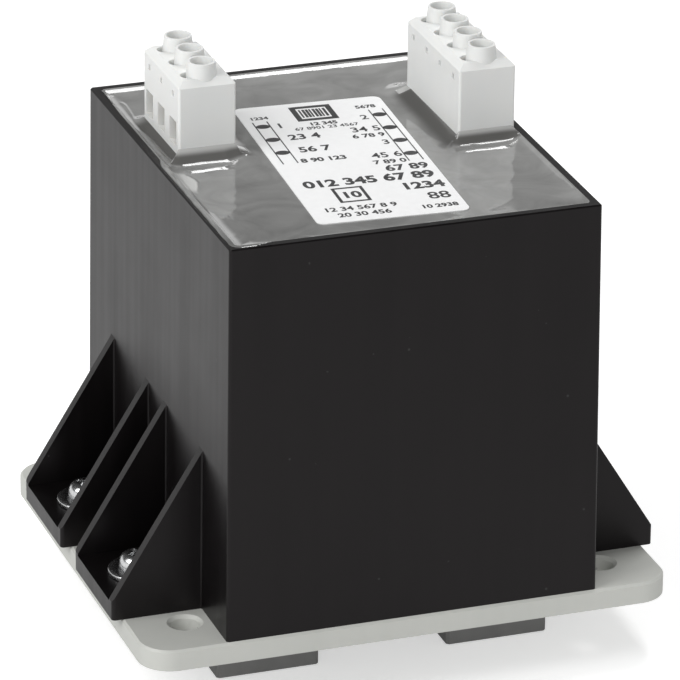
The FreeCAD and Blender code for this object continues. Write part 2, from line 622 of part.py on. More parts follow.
def build():
    primary_y = pole_places(PRIMARY_POLES)
    secondary_y = pole_places(SECONDARY_POLES)
    px0, px1 = chamber(-1)
    sx0, sx1 = chamber(1)
    split = secondary_split()
    nodes = {
        "core_e_stack": core_e_stack(),
        "core_i_stack": core_i_stack(),
        "winding_bobbin": bobbin(),
        "primary_winding": sleeve(px0, px1, 0, WINDING_BUILD),
        "primary_wrap": sleeve(px0, px1, WINDING_BUILD, WINDING_BUILD + WRAP_THICKNESS),
        "inner_secondary_winding": sleeve(sx0, sx1, 0, split),
        "secondary_interlayer": sleeve(sx0, sx1, split, split + INTERLAYER),
        "outer_secondary_winding": sleeve(sx0, sx1, split + INTERLAYER, WINDING_BUILD),
        "secondary_wrap": sleeve(sx0, sx1, WINDING_BUILD, WINDING_BUILD + WRAP_THICKNESS),
        "primary_lead_wires": group(lead_set(-1, PRIMARY_X, PRIMARY_POLES, PRIMARY_LEAD_Y)),
        "secondary_lead_wires": group(lead_set(1, SECONDARY_X, SECONDARY_POLES, SECONDARY_LEAD_Y)),
        "primary_solder_pins": group([solder_pin(PRIMARY_X, y) for y in primary_y]),
        "secondary_solder_pins": group([solder_pin(SECONDARY_X, y) for y in secondary_y]),
        "primary_clamp_cages": group([clamp_cage(PRIMARY_X, y) for y in primary_y]),
        "secondary_clamp_cages": group([clamp_cage(SECONDARY_X, y) for y in secondary_y]),
        "primary_clamp_screws": group([clamp_screw(PRIMARY_X, y) for y in primary_y]),
        "secondary_clamp_screws": group([clamp_screw(SECONDARY_X, y) for y in secondary_y]),
        "primary_terminal_body": terminal_body(PRIMARY_X, PRIMARY_POLES, -1, primary_foot()),
        "secondary_terminal_body": terminal_body(SECONDARY_X, SECONDARY_POLES, 1, secondary_foot()),
        "housing": housing(),
        "rating_label": rating_label(),
        "adapter_plate": adapter_plate(),
        "lug_screws": group([lug_screw(x, y) for x, y in lug_places()]),
        "lug_washers": group([lug_washer(x, y) for x, y in lug_places()]),
        "lug_nuts": group([lug_nut(x, y) for x, y in lug_places()]),
        "rail_clip_left": rail_clip(-1),
        "rail_clip_right": rail_clip(1),
        "rail_clip_screws": group([clip_screw(clip_x(side), 0) for side in (-1, 1)]),
    }
    # The resin was poured round every inner piece and the closed form of each terminal body
    sealed = ("core_e_stack", "core_i_stack", "winding_bobbin", "primary_winding", "primary_wrap",
              "inner_secondary_winding", "secondary_interlayer", "outer_secondary_winding", "secondary_wrap",
              "primary_lead_wires", "secondary_lead_wires", "primary_solder_pins", "secondary_solder_pins")
    potted = [nodes[name] for name in sealed]
    potted.append(block_blank(PRIMARY_X, PRIMARY_POLES).fuse(primary_foot()))
    potted.append(block_blank(SECONDARY_X, SECONDARY_POLES).fuse(secondary_foot()))
    nodes["potting_resin"] = case_cavity(RESIN_LEVEL).cut(potted)
    return nodes


def main():
    os.makedirs("parts", exist_ok=True)
    for name, shape in build().items():
        volumes = [round(solid.Volume, 2) for solid in shape.Solids]
        print(name, "valid" if shape.isValid() else "INVALID", len(volumes), "solids", volumes[:5])
        shape.exportStep("parts/" + name + ".step")


main()
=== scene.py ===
import math

import bmesh
import bpy
from mathutils import Matrix, Vector, noise


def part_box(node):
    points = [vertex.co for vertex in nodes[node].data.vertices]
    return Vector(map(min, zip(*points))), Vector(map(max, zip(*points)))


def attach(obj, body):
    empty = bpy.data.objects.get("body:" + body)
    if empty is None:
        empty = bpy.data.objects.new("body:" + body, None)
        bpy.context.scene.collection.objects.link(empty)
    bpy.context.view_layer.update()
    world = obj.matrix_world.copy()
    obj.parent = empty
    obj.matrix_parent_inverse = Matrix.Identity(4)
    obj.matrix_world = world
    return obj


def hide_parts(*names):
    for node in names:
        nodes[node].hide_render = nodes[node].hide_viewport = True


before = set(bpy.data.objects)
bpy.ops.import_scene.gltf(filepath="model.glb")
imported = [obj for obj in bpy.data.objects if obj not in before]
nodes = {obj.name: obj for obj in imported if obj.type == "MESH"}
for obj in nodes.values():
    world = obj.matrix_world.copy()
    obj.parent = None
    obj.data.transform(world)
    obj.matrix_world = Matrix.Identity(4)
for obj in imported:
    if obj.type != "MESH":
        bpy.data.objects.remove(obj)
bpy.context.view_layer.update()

MM = 0.001
scene = bpy.context.scene


# Places that the CAD solids give, in metres
HOUSING_LOW, HOUSING_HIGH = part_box("housing")
RESIN_LOW, RESIN_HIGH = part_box("potting_resin")
LABEL_LOW, LABEL_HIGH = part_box("rating_label")
PRIMARY_LOW, PRIMARY_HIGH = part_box("primary_terminal_body")
SECONDARY_LOW, SECONDARY_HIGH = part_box("secondary_terminal_body")
SCREWS_LOW, SCREWS_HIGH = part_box("lug_screws")
WASHERS_LOW, WASHERS_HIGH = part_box("lug_washers")
NUTS_LOW, NUTS_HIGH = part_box("lug_nuts")
CLAMPS_LOW, CLAMPS_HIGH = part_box("primary_clamp_screws")
RESIN_LEVEL = LABEL_LOW.z
RIM_RISE = HOUSING_HIGH.z - RESIN_LEVEL


# Sizes of small details, in millimetres
HEAD_RADIUS = 2.8
HEAD_FOOT_EDGE = 0.12
HEAD_FOOT_INSET = 0.1
RECESS_MOUTH = (3.3, 0.85)
RECESS_FOOT = (1.3, 0.55)
RECESS_DEPTH = 1.35
SHANK_RADIUS = 1.5
PLAIN_SHANK = 3.5
THREAD_PITCH = 0.5
THREAD_DEPTH = 0.28
THREAD_STOP = 0.6
TIP_LENGTH = 0.3
TIP_INSET = 0.05
TIP_TAPER = 0.4
WASHER_RADIUS = 4.5
WASHER_BORE = 1.65
WASHER_EDGE = 0.14
WASHER_EDGE_INSET = (0.04, 0.05)
NUT_FLATS = 5.5
NUT_BORE = 1.28
NUT_MOUTH = 1.6
NUT_MOUTH_DEPTH = 0.25
NUT_FACE = 2.62
NUT_CHAMFER = 0.36
CLAMP_RADIUS = 1.3
CLAMP_TOP_EDGE = (0.22, 0.2)
CLAMP_TIP = (0.4, 0.3)
SLOT_MOUTH_WIDTH = 0.5
SLOT_FOOT_WIDTH = 0.46
SLOT_DEPTH = 0.7
SLOT_PAST = 0.4
TOOL_PAST = 0.1
POLE_PITCH = 5.8
BLOCK_WIDTH = 9.0
LABEL_WIDTH = 23.3
LABEL_LENGTH = 48.2

# The pan head's dome: radius, and how far it lies below the head's top
PAN_HEAD = ((0, 0), (0.9, 0.01), (1.6, 0.09), (2.1, 0.27), (2.5, 0.62), (2.72, 1.1), (HEAD_RADIUS, 1.6))

# Turns about the upright axis
LABEL_TURN = math.radians(-3.1)
LUG_SCREW_TURNS = (0.35, 0.9, 1.2, 0.1)
CLAMP_TURNS = {"primary": (0.5, 1.3, 0.9), "secondary": (0.2, 1.1, 0.7, 1.6)}

# Steps round each turned part
SCREW_STEPS = 48
WASHER_STEPS = 64
NUT_STEPS = 48
CLAMP_STEPS = 40


# What every piece, lamp and camera needs
def put(name, data):
    """An object with its data, linked to the scene."""
    thing = bpy.data.objects.new(name, data)
    scene.collection.objects.link(thing)
    return thing


def stand(thing, place, across, upward, back):
    """Puts a camera or a lamp at a place, looking away from its back."""
    turn = Matrix((across, upward, back)).transposed().to_4x4()
    thing.matrix_world = Matrix.Translation(place) @ turn


def mesh_of(shape, name):
    """A mesh from a bmesh, which is freed."""
    mesh = bpy.data.meshes.new(name)
    shape.to_mesh(mesh)
    shape.free()
    return mesh


def evaluated_mesh(thing):
    """The mesh that an object shows, with its modifiers or as filled text."""
    bpy.context.view_layer.update()
    return bpy.data.meshes.new_from_object(thing.evaluated_get(bpy.context.evaluated_depsgraph_get()))


# Camera, fitted to the case's corners and edges
AZIMUTH = math.radians(19.6735)
ELEVATION = math.radians(23.1287)
ROLL = math.radians(0.6859)
DISTANCE = 876.74 * MM
AIM = Vector((0, 0, 42.6)) * MM
SHIFT_RIGHT = 4.402 * MM
SHIFT_UP = 2.946 * MM
FOCAL_PIXELS = 5755.8
IMAGE_PIXELS = 680
CENTRE_X = 367.21
CENTRE_Y = 323.11
SENSOR = 36.0
NEAREST = 0.05
FARTHEST = 20.0


def make_camera():
    back = Vector((-math.sin(AZIMUTH) * math.cos(ELEVATION), -math.cos(AZIMUTH) * math.cos(ELEVATION),
                   math.sin(ELEVATION)))
    right = (-back).cross(Vector((0, 0, 1))).normalized()
    up = right.cross(-back)
    place = AIM + back * DISTANCE + right * SHIFT_RIGHT + up * SHIFT_UP
    across = right * math.cos(ROLL) + up * math.sin(ROLL)
    upward = up * math.cos(ROLL) - right * math.sin(ROLL)
    data = bpy.data.cameras.new("photo_camera")
    data.sensor_width = SENSOR
    data.lens = FOCAL_PIXELS * SENSOR / IMAGE_PIXELS
    data.shift_x = (IMAGE_PIXELS / 2 - CENTRE_X) / IMAGE_PIXELS
    data.shift_y = (CENTRE_Y - IMAGE_PIXELS / 2) / IMAGE_PIXELS
    data.clip_start = NEAREST
    data.clip_end = FARTHEST
    camera = put("photo_camera", data)
    stand(camera, place, across, upward, back)
    scene.camera = camera


# Shader node helpers; nearly all of a noise lies between its low and its high
NOISE_LOW = 0.3
NOISE_HIGH = 0.7


def new_group(name, inputs, outputs):
    """A shader node group with named float inputs and float outputs."""
    tree = bpy.data.node_groups.new(name, "ShaderNodeTree")
    for label, value in inputs:
        socket = tree.interface.new_socket(label, in_out="INPUT", socket_type="NodeSocketFloat")
        socket.default_value = value
    for label in outputs:
        tree.interface.new_socket(label, in_out="OUTPUT", socket_type="NodeSocketFloat")
    return tree, tree.nodes.new("NodeGroupInput"), tree.nodes.new("NodeGroupOutput")


def feed(tree, socket, value):
    """Links a socket, or sets a plain value."""
    if isinstance(value, (int, float, tuple)):
        socket.default_value = value
    else:
        tree.links.new(value, socket)


def math_node(tree, operation, a, b=None):
    node = tree.nodes.new("ShaderNodeMath")
    node.operation = operation
    feed(tree, node.inputs[0], a)
    if b is not None:
        feed(tree, node.inputs[1], b)
    return node.outputs[0]


def own_place(tree, stretch=None):
    """The object's own coordinates in metres, squeezed along an axis where a stretch is given."""
    place = tree.nodes.new("ShaderNodeTexCoord").outputs["Object"]
    if stretch is None:
        return place
    squeeze = tree.nodes.new("ShaderNodeMapping")
    squeeze.inputs["Scale"].default_value = stretch
    tree.links.new(place, squeeze.inputs["Vector"])
    return squeeze.outputs["Vector"]


def noise_at(tree, place, scale, detail, roughness=0.5, twist=0.0):
    node = tree.nodes.new("ShaderNodeTexNoise")
    node.inputs["Distortion"].default_value = twist
    node.inputs["Detail"].default_value = detail
    node.inputs["Roughness"].default_value = roughness
    tree.links.new(place, node.inputs["Vector"])
    feed(tree, node.inputs["Scale"], scale)
    return node.outputs["Fac"]


def own_mask(tree, name):
    """A mask that stands on the mesh's own points, 0 where the mesh has none."""
    node = tree.nodes.new("ShaderNodeAttribute")
    node.attribute_name = name
    return node.outputs["Fac"]


def ranged(tree, value, from_low, from_high, to_low, to_high):
    node = tree.nodes.new("ShaderNodeMapRange")
    limits = {"From Min": from_low, "From Max": from_high, "To Min": to_low, "To Max": to_high}
    for label, number in limits.items():
        node.inputs[label].default_value = number
    tree.links.new(value, node.inputs["Value"])
    return node.outputs["Result"]


def swing(tree, mask, low, high):
    """A value that follows a noise from low to high."""
    return ranged(tree, mask, NOISE_LOW, NOISE_HIGH, low, high)


def mixed(tree, factor, a, b):
    node = tree.nodes.new("ShaderNodeMix")
    node.data_type = "FLOAT"
    feed(tree, node.inputs["Factor"], factor)
    feed(tree, node.inputs["A"], a)
    feed(tree, node.inputs["B"], b)
    return node.outputs["Result"]


def tint(tree, factor, dark, light):
    """A colour between two tones; a tone may be a socket."""
    node = tree.nodes.new("ShaderNodeMix")
    node.data_type = "RGBA"
    feed(tree, node.inputs["Factor"], factor)
    sockets = [socket for socket in node.inputs if socket.type == "RGBA"]
    for socket, tone in zip(sockets, (dark, light)):
        feed(tree, socket, (*tone, 1.0) if isinstance(tone, tuple) else tone)
    return [socket for socket in node.outputs if socket.type == "RGBA"][0]


def bump(tree, shader, height, depth):
    node = tree.nodes.new("ShaderNodeBump")
    node.inputs["Distance"].default_value = depth
    tree.links.new(height, node.inputs["Height"])
    tree.links.new(node.outputs["Normal"], shader.inputs["Normal"])


# Grain of moulded plastic: spark texture of the mould, slow mottling and faint upright flow lines
FLOW_LINES_PER_METRE = 420.0
FLOW_LINE_STRETCH = (1.0, 1.0, 0.03)


def moulded_grain_group():
    tree, entry, leave = new_group(
        "moulded_grain", (("Grain per metre", 5000.0), ("Mottle per metre", 90.0), ("Flow share", 0.4)),
        ("Height", "Mottle"))
    place = own_place(tree)
    fine = noise_at(tree, place, entry.outputs["Grain per metre"], detail=2.0)
    slow = noise_at(tree, place, entry.outputs["Mottle per metre"], detail=3.0)
    flow = noise_at(tree, own_place(tree, FLOW_LINE_STRETCH), FLOW_LINES_PER_METRE, detail=2.0)
    tree.links.new(fine, leave.inputs["Height"])
    tree.links.new(mixed(tree, entry.outputs["Flow share"], slow, flow), leave.inputs["Mottle"])
    return tree


# Sparse dust: small spots, only where a slow noise passes the gate
DUST_PATCHES_PER_METRE = 170.0


def dust_group():
    tree, entry, leave = new_group(
        "dust", (("Spots per metre", 400.0), ("Spot size", 0.08), ("Gate", 0.6)), ("Mask",))
    place = own_place(tree)
    cells = tree.nodes.new("ShaderNodeTexVoronoi")
    tree.links.new(place, cells.inputs["Vector"])
    tree.links.new(entry.outputs["Spots per metre"], cells.inputs["Scale"])
    spot = math_node(tree, "LESS_THAN", cells.outputs["Distance"], entry.outputs["Spot size"])
    patches = noise_at(tree, place, DUST_PATCHES_PER_METRE, detail=1.0)
    here = math_node(tree, "GREATER_THAN", patches, entry.outputs["Gate"])
    tree.links.new(math_node(tree, "MULTIPLY", spot, here), leave.inputs["Mask"])
    return tree


GRAIN = moulded_grain_group()
DUST = dust_group()


def placed(tree, group, **values):
    """A shader node group in a material, with its values."""
    node = tree.nodes.new("ShaderNodeGroup")
    node.node_tree = group
    for label, value in values.items():
        node.inputs[label.replace("_", " ")].default_value = value
    return node


def surface(name, colour, roughness, metallic=0.0, level=0.5, ior=1.5):
    """A material with one Principled shader whose constants stand on its own sockets."""
    material = bpy.data.materials.new(name)
    material.use_nodes = True
    tree = material.node_tree
    shader = tree.nodes["Principled BSDF"]
    shader.inputs["Base Color"].default_value = (*colour, 1.0)
    shader.inputs["Roughness"].default_value = roughness
    shader.inputs["Metallic"].default_value = metallic
    shader.inputs["Specular IOR Level"].default_value = level
    shader.inputs["IOR"].default_value = ior
    return material, tree, shader


def moulded(name, dark, light, rough_low, rough_high, depth, level=0.5, mottle=90.0, flow=0.4, dust=None):
    """Moulded plastic, with dust of another tone where one is given."""
    material, tree, shader = surface(name, dark, rough_low, level=level)
    grain = placed(tree, GRAIN, Mottle_per_metre=mottle, Flow_share=flow)
    colour = tint(tree, swing(tree, grain.outputs["Mottle"], 0.0, 1.0), dark, light)
    if dust is not None:
        spots = placed(tree, DUST)
        colour = tint(tree, spots.outputs["Mask"], colour, dust)
    tree.links.new(colour, shader.inputs["Base Color"])
    tree.links.new(swing(tree, grain.outputs["Mottle"], rough_low, rough_high), shader.inputs["Roughness"])
    bump(tree, shader, grain.outputs["Height"], depth)
    return material


def case_black():
    material = moulded("case_black", dark=(0.0036, 0.0029, 0.0031), light=(0.0052, 0.0043, 0.0045),
                       rough_low=0.31, rough_high=0.40, depth=0.008 * MM, level=0.25, flow=0.6,
                       dust=(0.03, 0.03, 0.03))
    shader = material.node_tree.nodes["Principled BSDF"]
    shader.inputs["Specular Tint"].default_value = (1.0, 0.965, 0.975, 1.0)
    return material


def terminal_white():
    material = moulded("terminal_white", dark=(0.80, 0.81, 0.80), light=(0.83, 0.835, 0.82),
                       rough_low=0.38, rough_high=0.46, depth=0.004 * MM, mottle=150.0, flow=0.2)
    shader = material.node_tree.nodes["Principled BSDF"]
    shader.inputs["Subsurface Weight"].default_value = 0.2
    shader.inputs["Subsurface Radius"].default_value = (1.0, 0.9, 0.8)
    shader.inputs["Subsurface Scale"].default_value = 0.5 * MM
    return material


# Share of the clouds in the resin's shade; the rest is its slow change across the pool
CLOUD_SHARE = 0.35


def resin_grey():
    """Filled casting resin with a hard gloss: clouds of filler, paler towards the back and the secondary
    side, a painted dark reflection where it is drawn up in a bead at the bodies, and pale where it is a thin
    skin, with a painted highlight over the bodies' feet."""
    material, tree, shader = surface("resin_grey", (0.20, 0.20, 0.195), roughness=0.06, ior=1.75)
    place = own_place(tree)
    clouds = noise_at(tree, place, scale=120.0, detail=3.0, roughness=0.55, twist=1.2)
    parts = tree.nodes.new("ShaderNodeSeparateXYZ")
    tree.links.new(place, parts.inputs["Vector"])
    side = ranged(tree, parts.outputs["X"], RESIN_LOW.x, RESIN_HIGH.x, 0.1, 0.9)
    depth = ranged(tree, parts.outputs["Y"], RESIN_LOW.y, RESIN_HIGH.y, 0.0, 1.0)
    shade = mixed(tree, CLOUD_SHARE, mixed(tree, 0.5, side, depth), swing(tree, clouds, 0.0, 1.0))
    pale = tint(tree, shade, (0.145, 0.145, 0.142), (0.390, 0.391, 0.384))
    # Painted dark reflection on the bead at the bodies
    dark = tint(tree, own_mask(tree, "bead"), pale, (0.125, 0.123, 0.118))
    # Pale where the skin is thin over white plastic; over the feet this is partly a painted highlight
    tree.links.new(tint(tree, own_mask(tree, "thin"), dark, (0.52, 0.52, 0.51)), shader.inputs["Base Color"])
    tree.links.new(swing(tree, clouds, 0.045, 0.09), shader.inputs["Roughness"])
    return material


def label_white():
    material, tree, shader = surface("label_white", (0.93, 0.933, 0.935), roughness=0.36)
    cloud = noise_at(tree, own_place(tree), scale=900.0, detail=2.0)
    tree.links.new(swing(tree, cloud, 0.32, 0.42), shader.inputs["Roughness"])
    tree.links.new(tint(tree, swing(tree, cloud, 0.0, 1.0), (0.92, 0.923, 0.925), (0.94, 0.943, 0.945)),
                   shader.inputs["Base Color"])
    return material


def label_ink():
    """Printed black, thin in places."""
    material, tree, shader = surface("label_ink", (0.014, 0.014, 0.015), roughness=0.4)
    cloud = noise_at(tree, own_place(tree), scale=2500.0, detail=2.0)
    tree.links.new(tint(tree, swing(tree, cloud, 0.0, 1.0), (0.010, 0.010, 0.011), (0.05, 0.05, 0.052)),
                   shader.inputs["Base Color"])
    tree.links.new(swing(tree, cloud, 0.36, 0.46), shader.inputs["Roughness"])
    return material


def worked_metal(name, dark, light, rough_low, rough_high):
    """Plated metal with a fine grain and a slightly uneven sheen."""
    material, tree, shader = surface(name, light, rough_low, metallic=1.0)
    grain = noise_at(tree, own_place(tree), scale=4000.0, detail=3.0, roughness=0.6)
    tree.links.new(tint(tree, swing(tree, grain, 0.0, 1.0), dark, light), shader.inputs["Base Color"])
    tree.links.new(swing(tree, grain, rough_low, rough_high), shader.inputs["Roughness"])
    bump(tree, shader, grain, 0.0015 * MM)
    return material


def banded(name, axis, scale, dark, light, roughness, metallic, depth):
    """Turns of wire or stacked sheets: regular bands along one axis."""
    material, tree, shader = surface(name, light, roughness, metallic=metallic)
    bands = tree.nodes.new("ShaderNodeTexWave")
    bands.bands_direction = axis
    bands.inputs["Scale"].default_value = scale
    bands.inputs["Distortion"].default_value = 0.25
    tree.links.new(own_place(tree), bands.inputs["Vector"])
    tree.links.new(tint(tree, bands.outputs["Fac"], dark, light), shader.inputs["Base Color"])
    bump(tree, shader, bands.outputs["Fac"], depth)
    return material


def film_amber():
    material, tree, shader = surface("film_amber", (0.62, 0.42, 0.07), roughness=0.22)
    cloud = noise_at(tree, own_place(tree), scale=260.0, detail=3.0)
    tree.links.new(tint(tree, swing(tree, cloud, 0.0, 1.0), (0.50, 0.32, 0.05), (0.70, 0.50, 0.10)),
                   shader.inputs["Base Color"])
    bump(tree, shader, cloud, 0.05 * MM)
    return material


FINISHES = {
    "case_plastic": case_black(),
    "resin": resin_grey(),
    "core_steel": banded(
        "stacked_steel", axis="Z", scale=314.0, dark=(0.10, 0.10, 0.105), light=(0.36, 0.36, 0.37),
        roughness=0.45, metallic=0.9, depth=0.06 * MM),
    "bobbin_plastic": moulded(
        "bobbin_black", dark=(0.03, 0.03, 0.032), light=(0.045, 0.045, 0.048),
        rough_low=0.45, rough_high=0.55, depth=0.006 * MM),
    "winding_copper": banded(
        "wound_copper", axis="X", scale=400.0, dark=(0.30, 0.10, 0.035), light=(0.70, 0.31, 0.13),
        roughness=0.3, metallic=0.85, depth=0.15 * MM),
    "wrap_film": film_amber(),
    "lead_insulation": moulded(
        "lead_red", dark=(0.30, 0.02, 0.015), light=(0.36, 0.03, 0.02),
        rough_low=0.4, rough_high=0.5, depth=0.004 * MM),
    "tinned_metal": worked_metal(
        "tinned", dark=(0.55, 0.55, 0.53), light=(0.72, 0.72, 0.70), rough_low=0.25, rough_high=0.4),
    "clamp_brass": worked_metal(
        "clamp_brass", dark=(0.50, 0.36, 0.14), light=(0.68, 0.50, 0.22), rough_low=0.28, rough_high=0.42),
    "screw_steel": worked_metal(
        "screw_zinc", dark=(0.62, 0.63, 0.64), light=(0.80, 0.80, 0.80), rough_low=0.20, rough_high=0.30),
    "terminal_plastic": terminal_white(),
    "label_film": label_white(),
    "plate_plastic": moulded(
        "plate_grey", dark=(0.575, 0.585, 0.55), light=(0.615, 0.62, 0.585),
        rough_low=0.42, rough_high=0.52, depth=0.006 * MM, dust=(0.42, 0.42, 0.40)),
    "clip_plastic": moulded(
        "clip_grey", dark=(0.165, 0.165, 0.162), light=(0.20, 0.20, 0.196),
        rough_low=0.42, rough_high=0.5, depth=0.008 * MM),
}
INK = label_ink()

NODE_SLOTS = {
    "core_steel": ("core_e_stack", "core_i_stack"),
    "bobbin_plastic": ("winding_bobbin",),
    "winding_copper": ("primary_winding", "inner_secondary_winding", "outer_secondary_winding"),
    "wrap_film": ("primary_wrap", "secondary_wrap", "secondary_interlayer"),
    "lead_insulation": ("primary_lead_wires", "secondary_lead_wires"),
    "tinned_metal": ("primary_solder_pins", "secondary_solder_pins"),
    "clamp_brass": ("primary_clamp_cages", "secondary_clamp_cages"),
    "screw_steel": ("primary_clamp_screws", "secondary_clamp_screws", "lug_screws", "lug_washers", "lug_nuts",
                    "rail_clip_screws"),
    "terminal_plastic": ("primary_terminal_body", "secondary_terminal_body"),
    "case_plastic": ("housing",),
    "label_film": ("rating_label",),
    "plate_plastic": ("adapter_plate",),
    "clip_plastic": ("rail_clip_left", "rail_clip_right"),
    "resin": ("potting_resin",),
}


def dress_nodes():
    for slot_name, names in NODE_SLOTS.items():
        for name in names:
            node = nodes[name]
            if not node.material_slots:
                node.data.materials.append(FINISHES[slot_name])
            for place in node.material_slots:
                place.material = FINISHES[slot_name]


def piece(name, mesh, slot_name, material=None, smooth=True):
    """A new piece of the object: linked, riding on the root body, with its finish."""
    thing = put(name, mesh)
    mesh.materials.clear()
    mesh.materials.append(material or FINISHES[slot_name])
    mesh.polygons.foreach_set("use_smooth", [smooth] * len(mesh.polygons))
    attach(thing, "root")
    return thing


# Floor, world and lamps, in metres, watts and shares of white
FLOOR_HALF = 6.0
FLOOR_DROP = 0.0002
FLOOR_TONE = (0.80, 0.80, 0.80)
FLOOR_SEEN = 0.5
FLOOR_MIRRORED = 0.10
AMBIENT = 0.34
BACKDROP_TOP = 0.20
BACKDROP_END = 0.31
STUDIO_DARK = 0.06


def ray_masks(tree):
    """1 for rays that show the background, and 1 for rays that mirror it."""
    rays = tree.nodes.new("ShaderNodeLightPath")
    seen = math_node(tree, "MAXIMUM", rays.outputs["Is Camera Ray"], rays.outputs["Is Transmission Ray"])
    return seen, rays.outputs["Is Glossy Ray"]


def floor_white():
    """Matt, and lifted towards white for the rays that show or mirror it."""
    material = bpy.data.materials.new("floor_white")
    material.use_nodes = True
    material.cycles.emission_sampling = "NONE"
    tree = material.node_tree
    tree.nodes.clear()
    matte = tree.nodes.new("ShaderNodeBsdfDiffuse")
    matte.inputs["Color"].default_value = (*FLOOR_TONE, 1.0)
    glow = tree.nodes.new("ShaderNodeEmission")
    seen, mirrored = ray_masks(tree)
    lift = math_node(tree, "ADD", math_node(tree, "MULTIPLY", seen, FLOOR_SEEN),
                     math_node(tree, "MULTIPLY", mirrored, FLOOR_MIRRORED))
    tree.links.new(lift, glow.inputs["Strength"])
    both = tree.nodes.new("ShaderNodeAddShader")
    tree.links.new(matte.outputs[0], both.inputs[0])
    tree.links.new(glow.outputs[0], both.inputs[1])
    leave = tree.nodes.new("ShaderNodeOutputMaterial")
    tree.links.new(both.outputs[0], leave.inputs["Surface"])
    return material


def make_stage():
    shape = bmesh.new()
    corners = ((-1, -1), (1, -1), (1, 1), (-1, 1))
    shape.faces.new([shape.verts.new((sx * FLOOR_HALF, sy * FLOOR_HALF, -FLOOR_DROP)) for sx, sy in corners])
    floor = put("studio_floor", mesh_of(shape, "studio_floor"))
    floor.data.materials.append(floor_white())


def make_world():
    """White where it is seen; gloss mirrors a white backdrop that ends at some height in a darker room."""
    world = bpy.data.worlds.new("studio")
    scene.world = world
    world.use_nodes = True
    world.cycles.sampling_method = "NONE"
    tree = world.node_tree
    background = tree.nodes["Background"]
    background.inputs["Color"].default_value = (1.0, 1.0, 1.0, 1.0)
    direction = tree.nodes.new("ShaderNodeSeparateXYZ")
    tree.links.new(tree.nodes.new("ShaderNodeTexCoord").outputs["Generated"], direction.inputs["Vector"])
    backdrop = ranged(tree, direction.outputs["Z"], BACKDROP_TOP, BACKDROP_END, 1.0, STUDIO_DARK)
    seen, mirrored = ray_masks(tree)
    strength = mixed(tree, mirrored, mixed(tree, seen, AMBIENT, 1.0), backdrop)
    tree.links.new(strength, background.inputs["Strength"])


def softbox(name, place, aim, width, height, power, upright=(0, 0, 1)):
    """A rectangular lamp at a place, facing its aim; its height runs along the upright direction."""
    data = bpy.data.lights.new(name, "AREA")
    data.shape = "RECTANGLE"
    data.size = width
    data.size_y = height
    data.energy = power
    back = (Vector(place) - Vector(aim)).normalized()
    across = Vector(upright).cross(back).normalized()
    stand(put(name, data), place, across, back.cross(across), back)


def make_lights():
    """A key from the left, a strip that the sloping resin mirrors, and a fill from the front."""
    middle = (0.0, 0.0, 0.045)
    surface_middle = (0.0, 0.0, 0.074)
    softbox("key_left", (-0.62, -0.10, 0.62), middle, width=0.55, height=0.55, power=3.9)
    softbox("overhead_strip", (0.26, 0.276, 0.778), surface_middle, width=0.16, height=0.505, power=2.5,
            upright=(0, 0.932, -0.362))
    softbox("front_fill", (-0.30, -0.95, 0.26), middle, width=0.6, height=0.4, power=2.7)


# The poured surface, in millimetres: level with slow waves, drawn up at the case's walls, with a bead round
# each terminal body that ends in a steep edge, and a film run over the rim
RIM_WIDTH = 1.4
POOL_CORNER = 0.8
POOL_HALF_X = (RESIN_HIGH.x - RESIN_LOW.x) / 2 / MM
POOL_HALF_Y = (RESIN_HIGH.y - RESIN_LOW.y) / 2 / MM
OUTER_X = POOL_HALF_X + RIM_WIDTH
OUTER_Y = POOL_HALF_Y + RIM_WIDTH
SKIN_LIFT = 0.02

# The skin at the walls: how high it is drawn up, less near the front wall, and the most that it may rise
WALL_CREEP = 0.64
WALL_CREEP_LENGTH = 0.95
FRONT_WALL_CREEP = 0.30
FRONT_WALL_ROOM = 4.0
FRONT_WALL_FADE = 1.5
RIM_ROOM = 0.72
RIM_ROOM_SLOPE = 1.3

# The bead at the bodies: its slope and steep outer edge; its reach before the front face, which drops near
# the body's right edge; the blend from there to the other sides, with their reach, climb and curve; and the
# last climb at the body
BEAD_SLOPE = 0.70
BEAD_EDGE = 0.5
BEAD_EDGE_SLOPE = 0.585
FRONT_REACH = {"primary": 2.7, "secondary": 1.8}
FRONT_REACH_DROP = {"primary": 1.1, "secondary": 0.0}
DROP_BEFORE_EDGE = 2.4
DROP_PAST_EDGE = 1.0
FRONT_BLEND = 0.9
SIDE_REACH = {"primary": 3.0, "secondary": 3.7}
SIDE_CLIMB = {"primary": 0.75, "secondary": 1.1}
SIDE_CURVE = {"primary": 2.0, "secondary": 1.25}
BODY_CLIMB = 1.9
BODY_CLIMB_LENGTH = 0.35

# Rises of the bead over which it takes a painted dark reflection, and then turns pale; the share of the
# side's bead over which that painted dark reflection lies; and the length over which it fades out before the
# first body's back edge
DARK_RISES = (0.02, 0.40)
PALE_RISES = (0.95, 1.7)
DARK_SIDE_SHARES = (0.0, 0.55)
DARK_FADE = 2.7

# The small foot beside each body: where it lies from the body's corner, and the skin over it
FOOT_START = 0.4
FOOT_END = 1.7
FOOT_SKIN = 0.06
FOOT_SKIRT = 0.28
FLAT_AFTER_SKIRTS = 4
FOOT_RISE = 1.0
FOOT_TOE = 0.3
BEAD_LOST_AT_FOOT = 0.8

# The film on the rim: full along the left wall's front half, thinner behind it, gone at the back end, and
# full again on the front wall's left end; past its ragged border it dips under the rim's top
FILM_COVER = 0.85
FILM_DEPTH = 0.05
FILM_EDGE = 0.2
FILM_DIP = 3.0
FILM_RAGGED = 0.14
FILM_RAGGED_PER_MM = 0.4
FILM_BAND = 3
FILM_LEFT_END = 29.0
FILM_LEFT_FADE = 6.0
FILM_BACK_SHARE = 0.35
FILM_FULL_BEFORE = 2.5
FILM_FULL_FADE = 3.0
FILM_FRONT_END = -21.0
FILM_FRONT_FADE = 5.0

